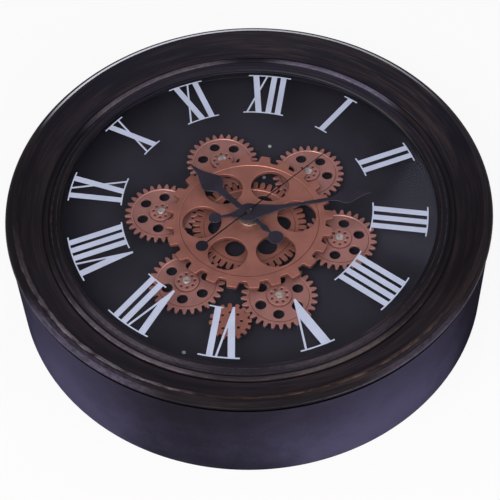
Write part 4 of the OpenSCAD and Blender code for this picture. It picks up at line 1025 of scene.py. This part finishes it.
def hub_cap():
    """The cap of the second hand: a low dome with a soft rim, turned about the clock's axis."""
    low = node_low("hub_cap")
    high = node_top("hub_cap")
    dome = ellipse((0, low + CAP_RIM), CAP_R, high - low - CAP_RIM, np.linspace(90, 0, 8)[1:])
    shell = Shell()
    index = shell.rings(lathe(np.concatenate([dome, [[CAP_R, low + 0.1], [CAP_R - 0.1, low]]]), 64))
    shell.fan(index[0], (0, 0, high))
    shell.fan(index[-1], (0, 0, low), up=False)
    shell.piece("centre_cap", "second", "cap_black", "hand_black", ["hub_cap"])


# Screws and nut
def pan_screw(shell, centre, seat, head_r, head_h, shank):
    """A screw with a domed head and a cross recess, on a polar grid.

    Head height is head_h (1 - 0.45 (r / head_r) ** 2.6); the recess takes off 0.5 head_h where either of
    two bars 0.26 head_r wide and 1.1 head_r long lies, with soft edges. Shank is its radius and length.
    """
    count = 48
    shank_r, shank_l = shank
    r = np.linspace(0.06, 0.94, 13) * head_r
    top = lathe(np.column_stack([r, head_h * (1 - 0.45 * (r / head_r) ** 2.6)]), count)

    def bar(across, along):
        side = np.clip((0.17 * head_r - np.abs(across)) / (0.08 * head_r), 0, 1)
        end = np.clip((0.6 * head_r - np.abs(along)) / (0.12 * head_r), 0, 1)
        return side * end

    x = top[..., 0]
    y = top[..., 1]
    top[..., 2] -= 0.5 * head_h * np.maximum(bar(x, y), bar(y, x))
    under = lathe([[head_r, 0.45 * head_h], [head_r, 0.0], [shank_r, 0.0], [shank_r, -shank_l + 0.4],
                   [0.5 * shank_r, -shank_l]], count)
    index = shell.rings(np.concatenate([top, under]) + [*centre, seat])
    shell.fan(index[0], (*centre, seat + 0.5 * head_h))
    shell.fan(index[-1], (*centre, seat - shank_l), up=False)


def planet_screws():
    """Domed screws that hold the planets on their posts."""
    seat = node_top("planet_screws") - PLANET_SCREW_H
    shell = Shell()
    for k in range(PLANETS):
        pan_screw(shell, planet_spot(k)[0], seat, PLANET_SCREW_R, PLANET_SCREW_H, PLANET_SCREW_SHANK)
    shell.piece("planet_screw_set", "case", "bright_steel", "bright_steel", ["planet_screws"])


def dial_screws():
    """Four small screws on the dial, two near twelve and two near the pinion."""
    seat = node_top("fixing_screws") - SCREW_HEAD_H
    spots = [*DIAL_SCREW_PAIR]
    spots += [pinion_spot()[0] + reach * toward(degrees) for reach, degrees in PINION_SCREWS]
    shell = Shell()
    for spot in spots:
        pan_screw(shell, spot, seat, SCREW_HEAD_R, SCREW_HEAD_H, SCREW_SHANK)
    shell.piece("dial_screw_set", "case", "zinc_steel", "zinc_steel", ["fixing_screws"])


def hub_nut():
    """The round nut below the hands: a turned collar with soft edges."""
    cut_plate("hub_nut", "hub_collar", "case", "copper_nut", "copper_nut", circle(NUT_R, 96),
              [circle(NUT_HOLE_R, 60)], NUT_EDGE)


# Numerals, in millimetres across: strokes of a kind with their ends, then the ends of the two hairlines
NUMERALS = {
    12: ([("\\", -18.6, -2.6), ("/", -18.6, -2.6), ("I", 3.9), ("I", 13.6)], (-23.2, 21.2), (-21.2, 19.4)),
    1: ([("I", -0.6)], (-8.4, 6.9), (-8.0, 6.2)),
    2: ([("I", -5.6), ("I", 4.7)], (-12.8, 12.4), (-12.4, 11.6)),
    3: ([("I", -10.4), ("I", -0.1), ("I", 9.9)], (-18.2, 17.0), (-17.2, 16.8)),
    4: ([("I", -13.7), ("I", -4.4), ("I", 4.7), ("I", 13.9)], (-22.2, 22.2), (-20.8, 20.8)),
    5: ([("V", -11.7, 13.1, 8.8)], (-15.2, 17.0), None),
    6: ([("V", -15.2, 2.8, 6.4), ("I", 7.8)], (-19.4, 18.0), (3.2, 16.2)),
    7: ([("V", -20, -0.8, 6.4), ("I", 4.0), ("I", 13.9)], (-23.8, 23.2), (-2.0, 20.8)),
    8: ([("V", -20.6, -4, 6.4), ("I", 1.6), ("I", 11.1), ("I", 20.5)], (-26.0, 27.4), (-6.5, 25.5)),
    9: ([("I", -10.2), ("m", -2.7, 14.2)], (-17.3, 18.4), (-16.4, 17.2)),
    10: ([("\\", -8.5, 7.6), ("/", -8.5, 7.6)], (-12.2, 12.2), (-11.8, 10.8)),
    11: ([("\\", -14.3, 2.7), ("/", -14.3, 2.7), ("I", 9.5)], (-18.8, 17.0), (-16.6, 16.6)),
}


def arc_band(low, high, left, right):
    """A band between two radii, from one place across the numeral to another."""
    u = np.linspace(left, right, 15)
    outer = np.column_stack([u, np.sqrt(high ** 2 - u ** 2)])
    inner = np.column_stack([u, np.sqrt(low ** 2 - u ** 2)])
    return np.concatenate([inner, outer[::-1]])


def slanted(top_left, top_right, foot_left, foot_right, inner, outer):
    """A stroke from the foot radius to the top radius, each end cut along its circle."""
    u = np.array([foot_left, foot_right, top_right, top_left])
    r = np.array([inner, inner, outer, outer])
    return np.column_stack([u, np.sqrt(r ** 2 - u ** 2)])


def vee(left, right, wide, thin, inner, outer):
    """A V: the thick left stroke keeps its width down to the thin right one, and both end in one point."""
    foot = inner - VEE_DROP
    middle = (left + right) / 2
    p = np.array([middle - VEE_HALF, foot])
    q = np.array([middle + VEE_HALF, foot])
    top = np.sqrt(outer ** 2 - np.array([left, left + wide, right - thin, right]) ** 2)
    thick_in = np.array([left + wide, top[1]])
    run = p - np.array([left, top[0]])
    edge = q - np.array([right, top[3]])
    gap = np.array([right, top[3]]) - thick_in
    t = (gap[0] * edge[1] - gap[1] * edge[0]) / (run[0] * edge[1] - run[1] * edge[0])
    thick = np.array([p, q, thick_in + t * run, thick_in, [left, top[0]]])
    hair = np.array([q - [thin, 0], q, [right, top[3]], [right - thin, top[2]]])
    return [thick, hair]


def numeral_strokes(hour, look):
    """All closed loops of one numeral: its strokes and the hairlines that join their ends."""
    strokes, top, foot = NUMERALS[hour]
    inner = look.inner / MM
    outer = look.outer / MM
    stem = look.stem / MM
    hair = look.hairline / MM
    wide = 1.05 * stem
    thin = 1.25 * hair
    serif = 0.85 * hair
    loops = [arc_band(outer - serif, outer, *top)]
    if foot:
        loops.append(arc_band(inner, inner + serif, *foot))
    for kind, left, *rest in strokes:
        if kind == "I":
            ends = (left - stem / 2, left + stem / 2)
            loops.append(slanted(*ends, *ends, inner, outer))
            continue
        right = rest[0]
        if kind == "\\":
            loops.append(slanted(left, left + wide, right - wide, right, inner, outer))
        if kind == "/":
            loops.append(slanted(right - thin, right, left, left + thin, inner, outer))
        if kind == "m":
            loops.append(slanted(right - wide, right, left, left + wide, inner, outer))
            loops.append(slanted(left, left + thin, right - thin, right, inner, outer))
        if kind == "V":
            loops.extend(vee(left, right, rest[1], thin, inner, outer))
    return loops


def numeral(hour, look):
    """One numeral on the glass: the union of its strokes, filled and given a thickness."""
    loops = numeral_strokes(hour, look)
    starts = np.cumsum([0] + [len(loop) for loop in loops])
    faces = [list(range(a, b)) for a, b in zip(starts[:-1], starts[1:])]
    points = list(map(Vector, np.concatenate(loops)))
    spots, _, triangles, _, _, sources = delaunay_2d_cdt(points, [], faces, 1, 1e-5)
    flat = np.array([tuple(p) for p in spots])
    kept = np.array([t for t, s in zip(triangles, sources) if s])
    a = flat[kept]
    area = np.cross(a[:, 1] - a[:, 0], a[:, 2] - a[:, 0])
    kept[area < 0] = kept[area < 0][:, ::-1]
    sides = np.concatenate([kept[:, [0, 1]], kept[:, [1, 2]], kept[:, [2, 0]]]).tolist()
    twins = {tuple(pair) for pair in sides}
    rim = np.array([pair for pair in sides if (pair[1], pair[0]) not in twins])
    outward = toward(90 - 30 * hour)
    across = outward[::-1] * [1, -1]
    plan = flat[:, :1] * across + flat[:, 1:] * outward + np.array(look.shift) / MM
    low = node_top("glass_lens") + PRINT_GAP
    high = low + look.thickness / MM
    shell = Shell()
    top = shell.add(np.insert(plan, 2, high, axis=1))
    bottom = shell.add(np.insert(plan, 2, low, axis=1))
    shell.put(kept + top, False)
    shell.put(kept[:, ::-1] + bottom, False)
    a, b = rim.T
    shell.put(np.stack([a + top, a + bottom, b + bottom, b + top], -1), False)
    shell.piece("numeral_%02d" % hour, "case", "numeral_paint")


# Metals: colour, tarnish, roughness and share of metal
METALS = {
    "bright_steel": ((194, 182, 180), (138, 124, 120), 0.42, 0.45),
    "zinc_steel": ((196, 198, 200), (138, 140, 144), 0.4, 0.5),
    "turned_brass": ((190, 158, 92), (140, 108, 58), 0.32, 0.9),
    "copper_nut": ((214, 184, 174), (160, 124, 112), 0.3, 0.7),
}

# Plastics and rubber: colour, roughness and scale of the texture
PLASTICS = {
    "black_plastic": ((34, 34, 36), 0.5, 900.0),
    "gasket_rubber": ((26, 26, 27), 0.7, 900.0),
    "inner_black": ((28, 26, 30), 0.6, 1400.0),
    # Lighter than the inner black: painted light in the shaded well
    "lightened_well_black": ((60, 57, 68), 0.65, 1400.0),
    "cell_jacket": ((58, 66, 62), 0.35, 1200.0),
    "lead_sheath": ((130, 30, 28), 0.45, 900.0),
}

# Finishes of the solids, those hidden behind a new piece included
DRESSED = {
    "drum_paint": ["drum_shell"],
    "clear_glass": ["glass_lens"],
    "gasket_rubber": ["glass_gasket"],
    "inner_black": ["bezel_ring"],
    "lightened_well_black": ["glass_retainer", "dial_ring"],
    "dial_black": ["dial_plate"],
    "bright_steel": ["fixing_screws", "planet_screws", "planet_posts", "motor_shaft"],
    "zinc_steel": ["dial_ring_screws", "post_nuts", "motor_case", "motor_strap", "battery_contacts",
                   "back_screws", "hanger_plate", "hanger_screws"],
    "turned_brass": ["centre_bush", "dial_nut", "thrust_washer", "gear_sleeve", "hour_pipe", "minute_arbor",
                     "second_arbor"],
    "copper_nut": ["hub_nut"],
    "black_plastic": ["movement_case", "set_knob", "battery_box"],
    "cell_jacket": ["movement_cell", "gear_cells"],
    "lead_sheath": ["motor_leads"],
    "back_fibreboard": ["back_board"],
    "gear_copper": ["front_gear", "drive_pinion"],
    "shaded_sun_copper": ["sun_gear"],
    "planet_copper": ["planet_gear_%d" % (k + 1) for k in range(PLANETS)],
    "hand_black": ["hour_hand", "minute_hand", "second_hand", "hub_cap"],
}


def paint_node(name, finish):
    """Puts one finish on every material slot of a node."""
    made = NODES[name]
    if not made.material_slots:
        made.data.materials.append(finish)
    for place in made.material_slots:
        place.material = finish


def finish_nodes(look):
    """Makes the finishes and gives every node its own."""
    for name, (colour, tarnish, rough, metallic) in METALS.items():
        plain_metal(name, srgb(*colour), srgb(*tarnish), rough, metallic)
    for name, (colour, rough, scale) in PLASTICS.items():
        moulded(name, srgb(*colour), rough, scale)
    drum_paint(look.case)
    dial_black(look.case.dial)
    clear_glass()
    fibreboard()
    gear_copper("gear_copper", look.gears.copper)
    gear_copper("planet_copper", look.gears.planets)
    # The sun lies under the front gear: a darker copy of its copper as painted shade
    gear_copper("shaded_sun_copper", shade(look.gears.copper, 0.88))
    hand_black("hand_black", look.hands.black)
    hand_black("rod_black", shade(look.hands.black, 0.5))
    moulded("cap_black", shade(look.hands.black, 0.5), 0.16)
    for finish, names in DRESSED.items():
        for name in names:
            paint_node(name, MADE[finish])


# Stage lights: name, place, height aimed at, side, the look that powers it with its share, and colour
LIGHTS = (
    ("key", (-0.45, -1.15, 1.7), 0.08, 1.2, "key", 1.0, (1.0, 0.99, 0.97)),
    ("fill", (0.45, -1.7, 1.35), 0.08, 1.0, "fill", 0.6, (0.98, 0.98, 1.0)),
    ("left_box", (-1.4, -0.6, 0.6), 0.05, 0.7, "side", 1.0, (0.9, 0.9, 1.0)),
    ("right_box", (1.5, -0.8, 1.3), 0.05, 1.0, "fill", 0.74, (0.98, 0.98, 1.0)),
    ("far_panel", (0.7, 1.5, 1.6), 0.1, 1.0, "key", 0.35, (0.85, 0.87, 1.0)),
)
GLOSS_LIGHTS = ("far_panel",)
WHITE = (1.0, 1.0, 1.0, 1.0)
FLOOR_HALF = 20.0
FLOOR_Z = -0.0002


def floor_finish(look):
    """Pale floor: camera, mirrors and glass see it lifted towards white, and it keeps the clock's shadow."""
    f = Finish("pale_floor")
    haze = f.noise(f.place, 3.0, 2.0)
    colour = f.blend(f.level(haze), shade(look.floor, 0.98), look.floor)
    matt = f.node("ShaderNodeBsdfPrincipled", inputs={"Base Color": colour, "Roughness": 0.9})
    glow = f.node("ShaderNodeEmission", inputs={"Color": WHITE, "Strength": 1.0})
    camera, gloss, glass = (f.node("ShaderNodeLightPath", output="Is %s Ray" % kind)
                            for kind in ("Camera", "Glossy", "Transmission"))
    sees = (camera + gloss + glass) * 0.9
    f.show("ShaderNodeOutputMaterial", f.node("ShaderNodeMixShader", inputs={0: sees, 1: matt, 2: glow}))


def pale_floor():
    """A square floor just below the clock."""
    mesh = bpy.data.meshes.new("floor")
    corners = [(-1, -1), (1, -1), (1, 1), (-1, 1)]
    mesh.from_pydata([(FLOOR_HALF * x, FLOOR_HALF * y, FLOOR_Z) for x, y in corners], [], [(0, 1, 2, 3)])
    mesh.materials.append(MADE["pale_floor"])
    made = placed("floor", mesh)


def soft_sky(look):
    """Even light from all sides; the camera sees it white."""
    world = bpy.data.worlds.new("soft_sky")
    sky = Tree(world)
    light = sky.node("ShaderNodeBackground", inputs={"Color": (0.93, 0.93, 1.0, 1.0), "Strength": look.sky})
    white = sky.node("ShaderNodeBackground", inputs={"Color": WHITE})
    camera = sky.node("ShaderNodeLightPath", output="Is Camera Ray")
    mix = sky.node("ShaderNodeMixShader", inputs={0: camera, 1: light, 2: white})
    sky.show("ShaderNodeOutputWorld", mix)
    bpy.context.scene.world = world


def area_light(name, place, height, side, power, colour):
    """A soft square light, aimed at a height on the clock's axis; a gloss light shows in gloss alone."""
    data = bpy.data.lights.new(name, "AREA")
    data.shape = "SQUARE"
    data.size = side
    data.energy = power
    data.color = colour
    made = placed(name, data)
    aim = Vector((0, 0, height)) - Vector(place)
    made.matrix_world = Matrix.Translation(place) @ aim.to_track_quat("-Z", "Y").to_matrix().to_4x4()
    made.visible_diffuse = name not in GLOSS_LIGHTS


def photo_camera():
    """The camera: it looks down on the clock, a little turned and rolled, with an off-centre framing."""
    radius = 0.230
    rise = math.radians(49.81)
    roll = 0.0363
    far = 5.352 * radius
    seam = 0.107
    spin = Matrix.Rotation(math.radians(9.956), 3, "Z")
    target = spin @ Vector((0.0101 * radius, 0.1214 * radius, seam))
    place = target + spin @ Vector((0, -far * math.cos(rise), far * math.sin(rise)))
    ahead = (target - place).normalized()
    level = ahead.cross(Vector((0, 0, 1))).normalized()
    right = Matrix.Rotation(roll, 3, ahead) @ level
    up = right.cross(ahead)
    data = bpy.data.cameras.new("photo_camera")
    data.lens = 91.873
    data.sensor_width = 36
    data.shift_y = -0.15
    made = placed("photo_camera", data)
    turn = Matrix((right, up, -ahead)).transposed()
    made.matrix_world = Matrix.Translation(place) @ turn.to_4x4()
    bpy.context.scene.camera = made


# Operators
class CLOCK_OT_finishes(bpy.types.Operator):
    """Gives every solid of the clock its finish."""

    bl_idname = "clock.finishes"
    bl_label = "Finishes"

    def execute(self, context):
        finish_nodes(context.scene.gear_clock)
        return {"FINISHED"}


class CLOCK_OT_bezel(bpy.types.Operator):
    """Makes the bezel moulding and the drum."""

    bl_idname = "clock.bezel"
    bl_label = "Bezel and drum"

    def execute(self, context):
        bezel_moulding(context.scene.gear_clock.case)
        drum_wall()
        return {"FINISHED"}


class CLOCK_OT_gears(bpy.types.Operator):
    """Makes the front gear, the sun, the pinion and the planets."""

    bl_idname = "clock.gears"
    bl_label = "Gears"

    def execute(self, context):
        edge = context.scene.gear_clock.gears.edge / MM
        for make in (front_gear, sun_gear, drive_pinion):
            make(edge)
        for k in range(PLANETS):
            planet_gear(k, edge)
        return {"FINISHED"}


class CLOCK_OT_hands(bpy.types.Operator):
    """Makes the three hands and the cap over them."""

    bl_idname = "clock.hands"
    bl_label = "Hands"

    def execute(self, context):
        edge = context.scene.gear_clock.hands.edge / MM
        for make in (hour_hand, minute_hand, second_hand):
            make(edge)
        hub_cap()
        return {"FINISHED"}


class CLOCK_OT_screws(bpy.types.Operator):
    """Makes the planets' screws, the dial's screws and the nut below the hands."""

    bl_idname = "clock.screws"
    bl_label = "Screws and nut"

    def execute(self, context):
        planet_screws()
        dial_screws()
        hub_nut()
        return {"FINISHED"}


class CLOCK_OT_numerals(bpy.types.Operator):
    """Makes the twelve numerals on the glass."""

    bl_idname = "clock.numerals"
    bl_label = "Numerals"

    def execute(self, context):
        look = context.scene.gear_clock.numerals
        numeral_paint(look.colour)
        for hour in range(1, 13):
            numeral(hour, look)
        return {"FINISHED"}


class CLOCK_OT_stage(bpy.types.Operator):
    """Makes the floor, the lights and the camera."""

    bl_idname = "clock.stage"
    bl_label = "Stage"

    def execute(self, context):
        look = context.scene.gear_clock.stage
        context.scene.view_settings.view_transform = "Standard"
        floor_finish(look)
        pale_floor()
        soft_sky(look)
        for name, place, height, side, source, share, colour in LIGHTS:
            area_light(name, place, height, side, share * getattr(look, source), colour)
        photo_camera()
        return {"FINISHED"}


class CLOCK_PT_looks(bpy.types.Panel):
    """Looks and pieces of the gear clock."""

    bl_label = "Gear clock"
    bl_space_type = "VIEW_3D"
    bl_region_type = "UI"
    bl_category = "Gear clock"

    def draw(self, context):
        look = context.scene.gear_clock
        for group in (look.case, look.gears, look.hands, look.numerals, look.stage):
            box = self.layout.box()
            for key in group.__annotations__:
                box.prop(group, key)
        for step in STEPS:
            self.layout.operator(step.bl_idname)


STEPS = (CLOCK_OT_finishes, CLOCK_OT_bezel, CLOCK_OT_gears, CLOCK_OT_hands, CLOCK_OT_screws,
         CLOCK_OT_numerals, CLOCK_OT_stage)
CLASSES = (CaseLook, GearLook, HandLook, NumeralLook, StageLook, ClockLook) + STEPS + (CLOCK_PT_looks,)


def register():
    """Makes the looks, the operators and the panel known to Blender."""
    for cls in CLASSES:
        bpy.utils.register_class(cls)
    bpy.types.Scene.gear_clock = PointerProperty(type=ClockLook)


def unregister():
    """Takes the looks, the operators and the panel away again."""
    del bpy.types.Scene.gear_clock
    for cls in reversed(CLASSES):
        bpy.utils.unregister_class(cls)


def main():
    """Makes the clock step by step."""
    register()
    bpy.ops.clock.finishes()
    bpy.ops.clock.bezel()
    bpy.ops.clock.gears()
    bpy.ops.clock.hands()
    bpy.ops.clock.screws()
    bpy.ops.clock.numerals()
    bpy.ops.clock.stage()


if __name__ == "__main__":
    main()
